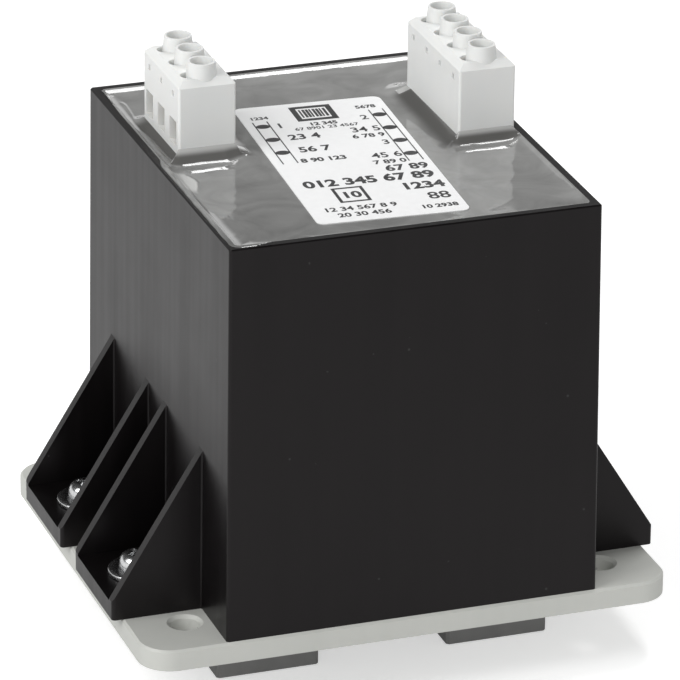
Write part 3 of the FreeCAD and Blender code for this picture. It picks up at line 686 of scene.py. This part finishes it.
# Slow swells, the swirl that bends them, thin flow lines, and a fine ripple, each from its own noise layer
SWIRL = 2.4
SWIRL_PER_MM = 0.045
SWELL = 0.05
SWELL_PER_MM = 0.075
FLOW_LINE = 0.028
FLOW_LINE_POWER = 6
FLOW_LINES_TO_SWELLS = 1.6
RIPPLE = 0.002
RIPPLE_PER_MM = 0.42
SWIRL_X_LAYER = 11.0
SWIRL_Y_LAYER = 23.0
SWELL_LAYER = 3.1
FLOW_LINE_LAYER = 9.4
RIPPLE_LAYER = 7.7
RAGGED_LAYER = 2.0

# The skin's grid: its steps, how far the fine step reaches from the walls and the bodies, and how far the
# skin runs on into a body and on to the rim, or past the film there
GRID_STEP = 0.36
FINE_STEP = 0.15
FINE_LEFT_END = -20.5
FINE_FRONT_WALL = 2.6
FINE_BACK_WALL = 2.8
FINE_INTO_BODY = 0.3
FINE_BESIDE_BODY = 2.9
FINE_BEFORE_BODY = 4.8
FINE_AT_CORNER = 2.2
SKIN_INTO_BODY = 0.15
SKIN_INTO_RIM = 0.1
SKIN_PAST_FILM = 1.3

# Folds that the resin kept while it set: a line of places, the height, the half width on the line's -Y side
# and that on its other side; and the shares of its length over which a fold fades in and out
FOLDS = (
    (((-25.64, 28.96), (-25.42, 26.87), (-25.62, 23.95), (-25.83, 21.44), (-25.6, 19.42), (-24.99, 18.43)),
     0.17, 0.42, 0.42),
    (((-25.1, -2.15), (-23.4, -2.2), (-22.0, -2.15), (-20.0, -1.95), (-18.1, -2.1)), 0.36, 0.54, 1.1),
    (((-25.31, -3.28), (-24.97, -4.4), (-24.67, -5.42), (-24.64, -6.61), (-25.05, -8.15), (-25.7, -9.9)),
     0.20, 0.34, 0.34),
    (((16.6, -6.9), (19.3, -6.68), (21.5, -6.83), (23.46, -6.72), (25.0, -6.58)), 0.30, 0.46, 0.9),
    (((21.95, -13.7), (24.1, -11.4), (25.24, -12.62), (24.79, -15.47), (23.22, -17.51)), 0.05, 0.45, 0.6),
)
FOLD_ENDS = (-0.05, 0.12)
FLAT_AFTER_WIDTHS = 3

# The fold that borders a pale patch of skin, from back to front, and how far the patch reaches past its ends
PATCH_FOLD = FOLDS[2][0]
PATCH_PAST_BACK = 1.2
PATCH_PAST_FRONT = 1.5
PATCH_FRONT_FADE = 2.5
PATCH_BORDER = (-0.15, 0.25)

# Small specks in the surface
SPECK_PLACES = ((-20.7, -26.5), (14.6, -27.8), (18.9, -11.5), (-15.2, -16.0), (3.0, 29.3))
SPECK_HEIGHT = 0.07
SPECK_WIDTH = 0.22
SPECK_REACH = 1.0


def body_rectangle(name, side):
    """The terminal body's own rectangle in metres, without its small foot; side is -1 on the left."""
    low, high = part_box(name)
    width = BLOCK_WIDTH * MM
    if side < 0:
        return low.x, low.x + width, low.y, high.y
    return high.x - width, high.x, low.y, high.y


def in_millimetres(rectangle):
    return tuple(value / MM for value in rectangle)


BODIES = {
    "primary": in_millimetres(body_rectangle("primary_terminal_body", -1)),
    "secondary": in_millimetres(body_rectangle("secondary_terminal_body", 1)),
}


def body_feet():
    """Each foot's rectangle, and the x at which it meets its body."""
    first, second = BODIES["primary"], BODIES["secondary"]
    return ((first[1], PRIMARY_HIGH.x / MM, first[2] + FOOT_START, first[2] + FOOT_END, first[1]),
            (SECONDARY_LOW.x / MM, second[0], second[3] - FOOT_END, second[3] - FOOT_START, second[0]))


FEET = body_feet()


def rectangle_distance(x, y, rectangle):
    x0, x1, y0, y1 = rectangle
    out_x = max(x0 - x, x - x1)
    out_y = max(y0 - y, y - y1)
    if out_x <= 0 and out_y <= 0:
        return max(out_x, out_y)
    return math.hypot(max(out_x, 0.0), max(out_y, 0.0))


def cavity_distance(x, y):
    """How far a point is inside the case's wall, with rounded corners; negative on the rim."""
    dx = abs(x) - (POOL_HALF_X - POOL_CORNER)
    dy = abs(y) - (POOL_HALF_Y - POOL_CORNER)
    if dx > 0 and dy > 0:
        return POOL_CORNER - math.hypot(dx, dy)
    return min(POOL_HALF_X - abs(x), POOL_HALF_Y - abs(y))


def step_between(value, low, high):
    """0 below low, 1 above high, smooth between."""
    share = max(0.0, min(1.0, (value - low) / (high - low)))
    return share * share * (3 - 2 * share)


def grid_lines(low, high, fine_spans):
    """Coordinates from low to high, closer together inside the fine spans."""
    lines = [low]
    while lines[-1] < high:
        fine = any(start <= lines[-1] <= end for start, end in fine_spans)
        lines.append(min(high, lines[-1] + (FINE_STEP if fine else GRID_STEP)))
    return lines


def fold_height(x, y, fold):
    """The rise of a fold: steeper on one side of its line than on the other, and fading at its ends."""
    points, height, near, beyond = fold
    reach = FLAT_AFTER_WIDTHS * max(near, beyond)
    if not (min(p[0] for p in points) - reach < x < max(p[0] for p in points) + reach
            and min(p[1] for p in points) - reach < y < max(p[1] for p in points) + reach):
        return 0.0
    best, offset, place = math.inf, 0.0, 0.0
    for i, (start, end) in enumerate(zip(points, points[1:])):
        run_x, run_y = end[0] - start[0], end[1] - start[1]
        along = (x - start[0]) * run_x + (y - start[1]) * run_y
        share = max(0.0, min(1.0, along / (run_x ** 2 + run_y ** 2)))
        gap_x, gap_y = x - start[0] - run_x * share, y - start[1] - run_y * share
        gap = math.hypot(gap_x, gap_y)
        if gap < best:
            best, offset, place = gap, gap_y, (i + share) / (len(points) - 1)
    fade = step_between(min(place, 1 - place), *FOLD_ENDS)
    return height * fade * math.exp(-(best / (near if offset < 0 else beyond)) ** 2)


def speck_heights(x, y):
    """The rises of the specks near a point."""
    gaps = [math.hypot(x - speck_x, y - speck_y) for speck_x, speck_y in SPECK_PLACES]
    return [SPECK_HEIGHT * math.exp(-(gap / SPECK_WIDTH) ** 2) for gap in gaps if gap < SPECK_REACH]


def film_share(x, y):
    """How fully the film covers the rim, from 0 to 1."""
    on_left, on_front = 0.0, 0.0
    if x < -POOL_HALF_X + FILM_BAND:
        full = step_between(FILM_FULL_BEFORE - y, 0.0, FILM_FULL_FADE)
        on_left = step_between(FILM_LEFT_END - y, 0.0, FILM_LEFT_FADE)
        on_left *= FILM_BACK_SHARE + (1 - FILM_BACK_SHARE) * full
    if y < -POOL_HALF_Y + FILM_BAND:
        on_front = step_between(FILM_FRONT_END - x, 0.0, FILM_FRONT_FADE)
    return max(on_left, on_front)


def film_patch(x, y):
    """1 on the pale skin between the left wall and the patch's fold."""
    back, front = PATCH_FOLD[0], PATCH_FOLD[-1]
    if not front[1] - PATCH_PAST_FRONT < y < back[1] + PATCH_PAST_BACK:
        return 0.0
    border = back[0] if y > back[1] else front[0]
    for start, end in zip(PATCH_FOLD, PATCH_FOLD[1:]):
        if end[1] <= y <= start[1]:
            border = start[0] + (end[0] - start[0]) * (start[1] - y) / (start[1] - end[1])
    at_back = step_between(back[1] + PATCH_PAST_BACK - y, 0.0, PATCH_PAST_BACK)
    at_front = step_between(y - front[1] + PATCH_PAST_FRONT, 0.0, PATCH_FRONT_FADE)
    return at_back * at_front * step_between(border - x, *PATCH_BORDER)


def noise_layer(x, y, layer):
    """One of several unlike noises over the plan."""
    return noise.noise(Vector((x, y, layer)))


def waves(x, y):
    """Slow swells, swirled by two other noises, with thin flow lines and a fine ripple."""
    bend_x = noise_layer(x * SWIRL_PER_MM, y * SWIRL_PER_MM, SWIRL_X_LAYER)
    bend_y = noise_layer(x * SWIRL_PER_MM, y * SWIRL_PER_MM, SWIRL_Y_LAYER)
    px = x * SWELL_PER_MM + SWIRL * bend_x
    py = y * SWELL_PER_MM + SWIRL * bend_y
    swell = noise_layer(px, py, SWELL_LAYER) * SWELL
    crest = 1.0 - abs(noise_layer(px * FLOW_LINES_TO_SWELLS, py * FLOW_LINES_TO_SWELLS, FLOW_LINE_LAYER))
    ripple = noise_layer(x * RIPPLE_PER_MM, y * RIPPLE_PER_MM, RIPPLE_LAYER) * RIPPLE
    return swell + crest ** FLOW_LINE_POWER * FLOW_LINE + ripple


def bead_height(away, reach):
    """The bead's rise at a distance from the body: a steep outer edge, a slope, and a climb at the body."""
    if away >= reach:
        return 0.0
    edge = reach - BEAD_EDGE
    if away >= edge:
        return (reach - away) * BEAD_EDGE_SLOPE
    top = BEAD_EDGE * BEAD_EDGE_SLOPE
    climb = BODY_CLIMB - top - edge * BEAD_SLOPE
    return top + (edge - away) * BEAD_SLOPE + climb * math.exp(-away / BODY_CLIMB_LENGTH)


def body_bead(x, y, name):
    """The bead's rise at a point, how much painted dark reflection it takes, and how pale it is where it
    stands
    high on the front face: tall before the front face, low and wide along the other sides."""
    x0, x1, y0, y1 = BODIES[name]
    away = max(rectangle_distance(x, y, BODIES[name]), 0.0)
    ahead = step_between(y0 - y - max(x0 - x, x - x1, 0.0), -FRONT_BLEND, 0.0)
    drop = step_between(x, x1 - DROP_BEFORE_EDGE, x1 + DROP_PAST_EDGE)
    front = bead_height(away, FRONT_REACH[name] - FRONT_REACH_DROP[name] * drop)
    side_share = max(0.0, 1 - away / SIDE_REACH[name])
    side = SIDE_CLIMB[name] * side_share ** SIDE_CURVE[name]
    dark_front = step_between(front, *DARK_RISES)
    dark_side = step_between(side_share, *DARK_SIDE_SHARES)
    dark = ahead * dark_front + (1 - ahead) * dark_side
    return side + (front - side) * ahead, dark, ahead * step_between(front, *PALE_RISES)


def foot_cover(x, y, foot):
    """The skin's rise over a small foot, which falls from the body towards its toe, and 1 on the foot, where
    the skin is pale over the white foot and carries a painted highlight.
    """
    x0, x1, y0, y1, face = foot
    away = max(rectangle_distance(x, y, (x0, x1, y0, y1)), 0.0)
    if away > FLAT_AFTER_SKIRTS * FOOT_SKIRT:
        return 0.0, 0.0
    along = abs(max(x0, min(x1, x)) - face) / (x1 - x0)
    top = FOOT_RISE + (FOOT_TOE - FOOT_RISE) * along + FOOT_SKIN
    return top * math.exp(-(away / FOOT_SKIRT) ** 2), 1 - step_between(away, 0.0, FOOT_SKIRT)


def film_height(x, y, beyond, film):
    """The film's height on the rim, with a ragged border, at a distance beyond the wall's inner face."""
    border = noise_layer(x * FILM_RAGGED_PER_MM, y * FILM_RAGGED_PER_MM, RAGGED_LAYER)
    ragged = 1.0 + FILM_RAGGED * border
    inside = (FILM_COVER * film * ragged - beyond) / FILM_EDGE
    return RIM_RISE / MM + FILM_DEPTH * max(-FILM_DIP, min(1.0, inside))


def wall_creep(y, film):
    """How high the skin is drawn up at the wall: lower near the front, and to the rim's top under a film."""
    at_front = step_between(-POOL_HALF_Y + FRONT_WALL_ROOM - y, 0.0, FRONT_WALL_FADE)
    creep = WALL_CREEP + (FRONT_WALL_CREEP - WALL_CREEP) * at_front
    return creep + (RIM_RISE / MM - creep) * film


def skin_point(x, y):
    """The skin's height over the resin's level, its painted dark reflection there, and how pale it is."""
    wall = cavity_distance(x, y)
    film = film_share(x, y)
    if wall < 0:
        return film_height(x, y, -wall, film), 0.0, 0.0
    creep = wall_creep(y, film)
    bead, dark, pale = max(body_bead(x, y, name) for name in BODIES)
    cover, on_foot = max(foot_cover(x, y, foot) for foot in FEET)
    rises = [creep * math.exp(-wall / WALL_CREEP_LENGTH), bead * (1 - BEAD_LOST_AT_FOOT * on_foot), cover]
    rises += [fold_height(x, y, fold) for fold in FOLDS]
    rises += speck_heights(x, y)
    rise = sum(part ** 3 for part in rises) ** (1 / 3)
    rise = min(rise, max(RIM_ROOM + RIM_ROOM_SLOPE * wall, creep))
    calm = max(0.0, 1.0 - rise / WALL_CREEP)
    # The painted dark reflection fades out behind the first body and stays off the feet, which are pale with
    # a painted highlight
    dark *= step_between(BODIES["primary"][3] - y, 0.0, DARK_FADE) * (1 - on_foot)
    return SKIN_LIFT + rise + waves(x, y) * calm, dark, max(on_foot, pale, film_patch(x, y))


def skin_grid():
    """The grid's lines along X and Y, fine at the walls, the bodies, their feet and the folds."""
    first, second = BODIES["primary"], BODIES["secondary"]
    fine_x = ((-OUTER_X, FINE_LEFT_END),
              (first[1] - FINE_INTO_BODY, first[1] + FINE_BESIDE_BODY),
              (second[0] - FINE_BESIDE_BODY, second[0] + FINE_INTO_BODY),
              (second[1] - FINE_INTO_BODY, OUTER_X))
    fine_y = ((-OUTER_Y, -POOL_HALF_Y + FINE_FRONT_WALL),
              (second[2] - FINE_BEFORE_BODY, first[2] + FINE_AT_CORNER),
              (first[3] - FINE_AT_CORNER, first[3] + FINE_BESIDE_BODY),
              (POOL_HALF_Y - FINE_BACK_WALL, OUTER_Y))
    return grid_lines(-OUTER_X, OUTER_X, fine_x), grid_lines(-OUTER_Y, OUTER_Y, fine_y)


def has_skin(x, y):
    """False inside a terminal body, and on the rim where the film doesn't reach."""
    if min(rectangle_distance(x, y, body) for body in BODIES.values()) < -SKIN_INTO_BODY:
        return False
    beyond = -cavity_distance(x, y)
    return beyond <= SKIN_INTO_RIM or beyond <= FILM_COVER * film_share(x, y) * SKIN_PAST_FILM


def resin_surface():
    xs, ys = skin_grid()
    shape = bmesh.new()
    # Masks on the points: the bead's painted dark reflection, and the pale thin skin with a painted highlight
    # over the feet
    painted_reflection_mask = shape.verts.layers.float.new("bead")
    pale_and_highlight_mask = shape.verts.layers.float.new("thin")
    rows = []
    for y in ys:
        row = []
        for x in xs:
            z, dark, pale = skin_point(x, y)
            vertex = shape.verts.new((x * MM, y * MM, RESIN_LEVEL + z * MM))
            vertex[painted_reflection_mask] = dark
            vertex[pale_and_highlight_mask] = pale
            row.append(vertex)
        rows.append(row)
    for j in range(len(ys) - 1):
        for i in range(len(xs) - 1):
            if has_skin((xs[i] + xs[i + 1]) / 2, (ys[j] + ys[j + 1]) / 2):
                shape.faces.new((rows[j][i], rows[j][i + 1], rows[j + 1][i + 1], rows[j + 1][i]))
    bmesh.ops.delete(shape, geom=[v for v in shape.verts if not v.link_faces], context="VERTS")
    piece("resin_surface", mesh_of(shape, "resin_surface"), "resin")


# Fasteners: turned blanks, recesses cut by boolean modifiers, and a copy at every place
def lathe(profile, steps, closed=False):
    """A mesh turned round Z from (radius, height) points in millimetres; a radius of 0 is a pole."""
    shape = bmesh.new()
    turns = [2 * math.pi * i / steps for i in range(steps)]
    rings = []
    for radius, z in profile:
        if radius == 0:
            rings.append([shape.verts.new((0, 0, z * MM))])
        else:
            ring = [(radius * MM * math.cos(turn), radius * MM * math.sin(turn), z * MM) for turn in turns]
            rings.append([shape.verts.new(place) for place in ring])
    pairs = list(zip(rings, rings[1:]))
    if closed:
        pairs.append((rings[-1], rings[0]))
    for low, high in pairs:
        for i in range(steps):
            after = i + 1
            corners = [low[i % len(low)], low[after % len(low)], high[after % len(high)], high[i % len(high)]]
            unique = [corner for k, corner in enumerate(corners) if corner not in corners[:k]]
            shape.faces.new(unique)
    bmesh.ops.recalc_face_normals(shape, faces=shape.faces)
    return mesh_of(shape, "turned")


def tapered_bar(mouth, foot, z0, z1):
    """A bar with a wider mouth (length, width) than foot, as a recess tool leaves it; millimetres."""
    shape = bmesh.new()
    corners = []
    for (length, width), z in ((foot, z0), (mouth, z1)):
        corners += [shape.verts.new((sx * length / 2 * MM, sy * width / 2 * MM, z * MM))
                    for sx in (-1, 1) for sy in (-1, 1)]
    bmesh.ops.convex_hull(shape, input=corners)
    return mesh_of(shape, "tapered_bar")


def combined(mesh, tools, operation):
    """The mesh with each tool cut from it, or what they share, by boolean modifiers."""
    blank = put("blank", mesh)
    helpers = []
    for tool in tools:
        helper = put("tool", tool)
        helpers.append(helper)
        step = blank.modifiers.new("step", "BOOLEAN")
        step.operation = operation
        step.solver = "EXACT"
        step.object = helper
    result = evaluated_mesh(blank)
    for thing in [blank] + helpers:
        bpy.data.objects.remove(thing)
    return result


def repeated(mesh, places):
    """One mesh with a copy at every place (x, y, z, turn)."""
    shape = bmesh.new()
    for x, y, z, turn in places:
        copy = mesh.copy()
        copy.transform(Matrix.Translation((x, y, z)) @ Matrix.Rotation(turn, 4, "Z"))
        shape.from_mesh(copy)
        bpy.data.meshes.remove(copy)
    return mesh_of(shape, "repeated")


def steel_fasteners(name, mesh, places, sharp_from):
    """Copies of a steel fastener, smooth but for edges from some degrees on."""
    fasteners = piece(name, repeated(mesh, places), "screw_steel")
    fasteners.data.set_sharp_from_angle(angle=math.radians(sharp_from))
    return fasteners


def lug_places(z, turns=(0.0, 0.0, 0.0, 0.0)):
    x = (SCREWS_HIGH.x - SCREWS_LOW.x) / 2 - HEAD_RADIUS * MM
    y = (SCREWS_HIGH.y - SCREWS_LOW.y) / 2 - HEAD_RADIUS * MM
    corners = [(sx * x, sy * y) for sx in (-1, 1) for sy in (-1, 1)]
    return [(cx, cy, z, turn) for (cx, cy), turn in zip(corners, turns)]


def lug_screws():
    """Pan heads with a cross recess, and a thread below the plain part of the shank."""
    seat = WASHERS_HIGH.z
    head = (SCREWS_HIGH.z - seat) / MM
    length = (seat - SCREWS_LOW.z) / MM
    profile = [(radius, head - drop) for radius, drop in PAN_HEAD]
    profile += [(HEAD_RADIUS, HEAD_FOOT_EDGE), (HEAD_RADIUS - HEAD_FOOT_INSET, 0), (SHANK_RADIUS, 0)]
    z = -PLAIN_SHANK
    while z > -length + THREAD_STOP:
        profile += [(SHANK_RADIUS, z), (SHANK_RADIUS - THREAD_DEPTH, z - THREAD_PITCH / 2)]
        z -= THREAD_PITCH
    profile += [(SHANK_RADIUS - TIP_INSET, -length + TIP_LENGTH), (SHANK_RADIUS - TIP_TAPER, -length),
                (0, -length)]
    recess = [tapered_bar(mouth, foot, head - RECESS_DEPTH, head + TOOL_PAST)
              for mouth, foot in ((RECESS_MOUTH, RECESS_FOOT), (RECESS_MOUTH[::-1], RECESS_FOOT[::-1]))]
    screw = combined(lathe(profile, SCREW_STEPS), recess, "DIFFERENCE")
    places = lug_places(seat, LUG_SCREW_TURNS)
    screws = steel_fasteners("lug_pan_head_screws", screw, places, sharp_from=35)
    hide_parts("lug_screws")


def lug_washers():
    thick = (WASHERS_HIGH.z - WASHERS_LOW.z) / MM
    edge = WASHER_EDGE
    side, face = WASHER_EDGE_INSET
    ring = [(WASHER_BORE, edge / 2), (WASHER_BORE + edge / 2, 0), (WASHER_RADIUS - edge, 0),
            (WASHER_RADIUS - side, face), (WASHER_RADIUS, edge), (WASHER_RADIUS, thick - edge),
            (WASHER_RADIUS - side, thick - face), (WASHER_RADIUS - edge, thick),
            (WASHER_BORE + edge, thick), (WASHER_BORE, thick - edge)]
    washer = lathe(ring, WASHER_STEPS, closed=True)
    washers = steel_fasteners("lug_rounded_washers", washer, lug_places(WASHERS_LOW.z), sharp_from=50)
    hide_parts("lug_washers")


def lug_nuts():
    """A hexagon with the corners turned off at both faces."""
    tall = (NUTS_HIGH.z - NUTS_LOW.z) / MM
    corner = NUT_FLATS / 2 / math.cos(math.pi / 6)
    past = corner + TOOL_PAST
    turned = lathe([(NUT_BORE, NUT_MOUTH_DEPTH), (NUT_MOUTH, 0), (NUT_FACE, 0), (past, NUT_CHAMFER),
                    (past, tall - NUT_CHAMFER), (NUT_FACE, tall), (NUT_MOUTH, tall),
                    (NUT_BORE, tall - NUT_MOUTH_DEPTH)], NUT_STEPS, closed=True)
    low, high = -TOOL_PAST, tall + TOOL_PAST
    hexagon = lathe([(0, low), (corner, low), (corner, high), (0, high)], 6)
    nut = combined(turned, [hexagon], "INTERSECT")
    nuts = steel_fasteners("lug_hexagon_nuts", nut, lug_places(NUTS_LOW.z), sharp_from=30)
    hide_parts("lug_nuts")


def clamp_screws():
    """Headless slotted screws, seen down the driver bores."""
    tall = (CLAMPS_HIGH.z - CLAMPS_LOW.z) / MM
    top_in, top_down = CLAMP_TOP_EDGE
    tip_in, tip_up = CLAMP_TIP
    blank = lathe([(0, tall), (CLAMP_RADIUS - top_in, tall), (CLAMP_RADIUS, tall - top_down),
                   (CLAMP_RADIUS, tip_up), (CLAMP_RADIUS - tip_in, 0), (0, 0)], CLAMP_STEPS)
    slot_length = 2 * CLAMP_RADIUS + SLOT_PAST
    slot = tapered_bar((slot_length, SLOT_MOUTH_WIDTH), (slot_length, SLOT_FOOT_WIDTH), tall - SLOT_DEPTH,
                       tall + TOOL_PAST)
    screw = combined(blank, [slot], "DIFFERENCE")
    for name, side in (("primary", -1), ("secondary", 1)):
        x0, x1, y0, y1 = body_rectangle(name + "_terminal_body", side)
        places = [((x0 + x1) / 2, y1 - POLE_PITCH * MM * (i + 0.5), CLAMPS_LOW.z, turn)
                  for i, turn in enumerate(CLAMP_TURNS[name])]
        screws = steel_fasteners(name + "_slotted_screws", screw, places, sharp_from=35)
        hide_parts(name + "_clamp_screws")


# Print on the label, in millimetres: u from its left edge, v from its back edge
INK_LIFT = 0.012
LINE = 0.2
LENS_HEIGHT = 1.7
LENS_CORNERS = 24
DIGIT_NARROWING = 0.95
DIGIT_SIZE = 1.4

# The winding diagrams: the places of their two upright lines, their ends, and the middle of each tap's lens
LADDERS = (
    (1.5, 3.75, 6.3, 24.0, (8.3, 13.9, 19.4)),
    (20.1, 22.3, 5.4, 27.3, (7.7, 13.3, 18.8, 24.3)),
)

# Frames as left, right, back and front edge with the width of the line, and the bars inside the first
BAR_FRAME = (8.4, 14.9, 1.5, 7.6, 0.9)
NUMBER_FRAME = (5.5, 10.3, 35.2, 41.0, 0.5)
BARS = 8
BARS_START = 9.55
BAR_PITCH = 0.54
BAR_ENDS = (2.9, 6.2)
THICK_BAR = 0.42
THIN_BAR = 0.30

# Text, place across and down, height, and extra weight of the strokes
PRINTED_NUMBERS = (
    ("1234", 2.9, 4.8, 1.1, 0.05), ("1", 5.2, 8.5, 1.9, 0.07), ("23 4", 7.6, 13.6, 2.1, 0.08),
    ("56 7", 7.7, 18.9, 2.1, 0.08), ("8 90 123", 7.9, 23.3, 1.5, 0.08),
    ("5678", 20.0, 3.9, 1.2, 0.06), ("2", 18.6, 8.2, 1.8, 0.05), ("34 5", 17.4, 13.0, 2.0, 0.05),
    ("6 78 9", 17.1, 15.7, 1.5, 0.06), ("3", 18.9, 18.9, 1.8, 0.05), ("45 6", 17.5, 24.0, 2.0, 0.05),
    ("7 89 0", 17.2, 26.7, 1.5, 0.06), ("67 89", 19.0, 29.4, 2.2, 0.10),
    ("12 345", 11.9, 9.0, 1.2, 0.07), ("67 8901 23 4567", 12.0, 10.6, 1.1, 0.03),
    ("012 345 67 89", 12.1, 32.9, 2.6, 0.14), ("1234", 19.2, 37.0, 2.5, 0.14), ("10", 7.9, 38.1, 2.3, 0.12),
    ("88", 20.4, 41.4, 2.6, 0.06), ("12 34 567 8 9", 7.8, 43.2, 1.5, 0.06),
    ("20 30 456", 7.8, 45.6, 1.5, 0.06), ("10 2938", 19.3, 45.4, 1.3, 0.07),
)


class LabelPrint:
    """Flat ink shapes in the label's own millimetres."""

    def __init__(self):
        self.shape = bmesh.new()
        middle = (LABEL_LOW + LABEL_HIGH) / 2
        lift = LABEL_HIGH.z + INK_LIFT * MM
        self.place = Matrix.Translation((middle.x, middle.y, lift)) @ Matrix.Rotation(LABEL_TURN, 4, "Z")

    def flat(self, outline):
        """One face from (u, v) points."""
        spots = [Vector(((u - LABEL_WIDTH / 2) * MM, (LABEL_LENGTH / 2 - v) * MM, 0)) for u, v in outline]
        self.shape.faces.new([self.shape.verts.new(self.place @ spot) for spot in spots])

    def bar(self, u0, u1, v0, v1):
        self.flat(((u0, v1), (u1, v1), (u1, v0), (u0, v0)))

    def lens(self, u0, u1, v, tall):
        middle, half = (u0 + u1) / 2, (u1 - u0) / 2
        turns = [2 * math.pi * i / LENS_CORNERS for i in range(LENS_CORNERS)]
        self.flat([(middle + half * math.cos(turn), v - tall / 2 * math.sin(turn)) for turn in turns])

    def frame(self, u0, u1, v0, v1, line):
        self.bar(u0, u1, v0, v0 + line)
        self.bar(u0, u1, v1 - line, v1)
        self.bar(u0, u0 + line, v0 + line, v1 - line)
        self.bar(u1 - line, u1, v0 + line, v1 - line)

    def ladder(self, u0, u1, v0, v1, taps):
        """Two upright lines with a thick lens between them at each tap."""
        for u in (u0, u1):
            self.bar(u - LINE / 2, u + LINE / 2, v0, v1)
        for v in taps:
            self.lens(u0, u1, v, LENS_HEIGHT)

    def bars(self):
        """Upright bars side by side, every third a thin one."""
        for i in range(BARS):
            start = BARS_START + BAR_PITCH * i
            self.bar(start, start + (THICK_BAR if i % 3 else THIN_BAR), *BAR_ENDS)

    def number(self, text, u, v, height, weight):
        """Narrow digits with their middle at a place."""
        words = bpy.data.curves.new("digits", "FONT")
        words.body = text
        words.size = height * MM * DIGIT_SIZE
        words.offset = weight * MM
        words.resolution_u = 4
        words.align_x = "CENTER"
        thing = put("digits", words)
        flat = evaluated_mesh(thing)
        foot = Matrix.Translation(((u - LABEL_WIDTH / 2) * MM, (LABEL_LENGTH / 2 - v - height / 2) * MM, 0))
        flat.transform(self.place @ foot @ Matrix.Diagonal((DIGIT_NARROWING, 1, 1, 1)))
        self.shape.from_mesh(flat)
        bpy.data.meshes.remove(flat)
        bpy.data.objects.remove(thing)


def label_print():
    ink = LabelPrint()
    for ladder in LADDERS:
        ink.ladder(*ladder)
    ink.frame(*BAR_FRAME)
    ink.bars()
    for number in PRINTED_NUMBERS:
        ink.number(*number)
    ink.frame(*NUMBER_FRAME)
    piece("label_print", mesh_of(ink.shape, "label_print"), "label_film", INK, smooth=False)


scene.view_settings.view_transform = "Standard"
make_camera()
make_world()
make_stage()
make_lights()
dress_nodes()
resin_surface()
lug_screws()
lug_washers()
lug_nuts()
clamp_screws()
label_print()
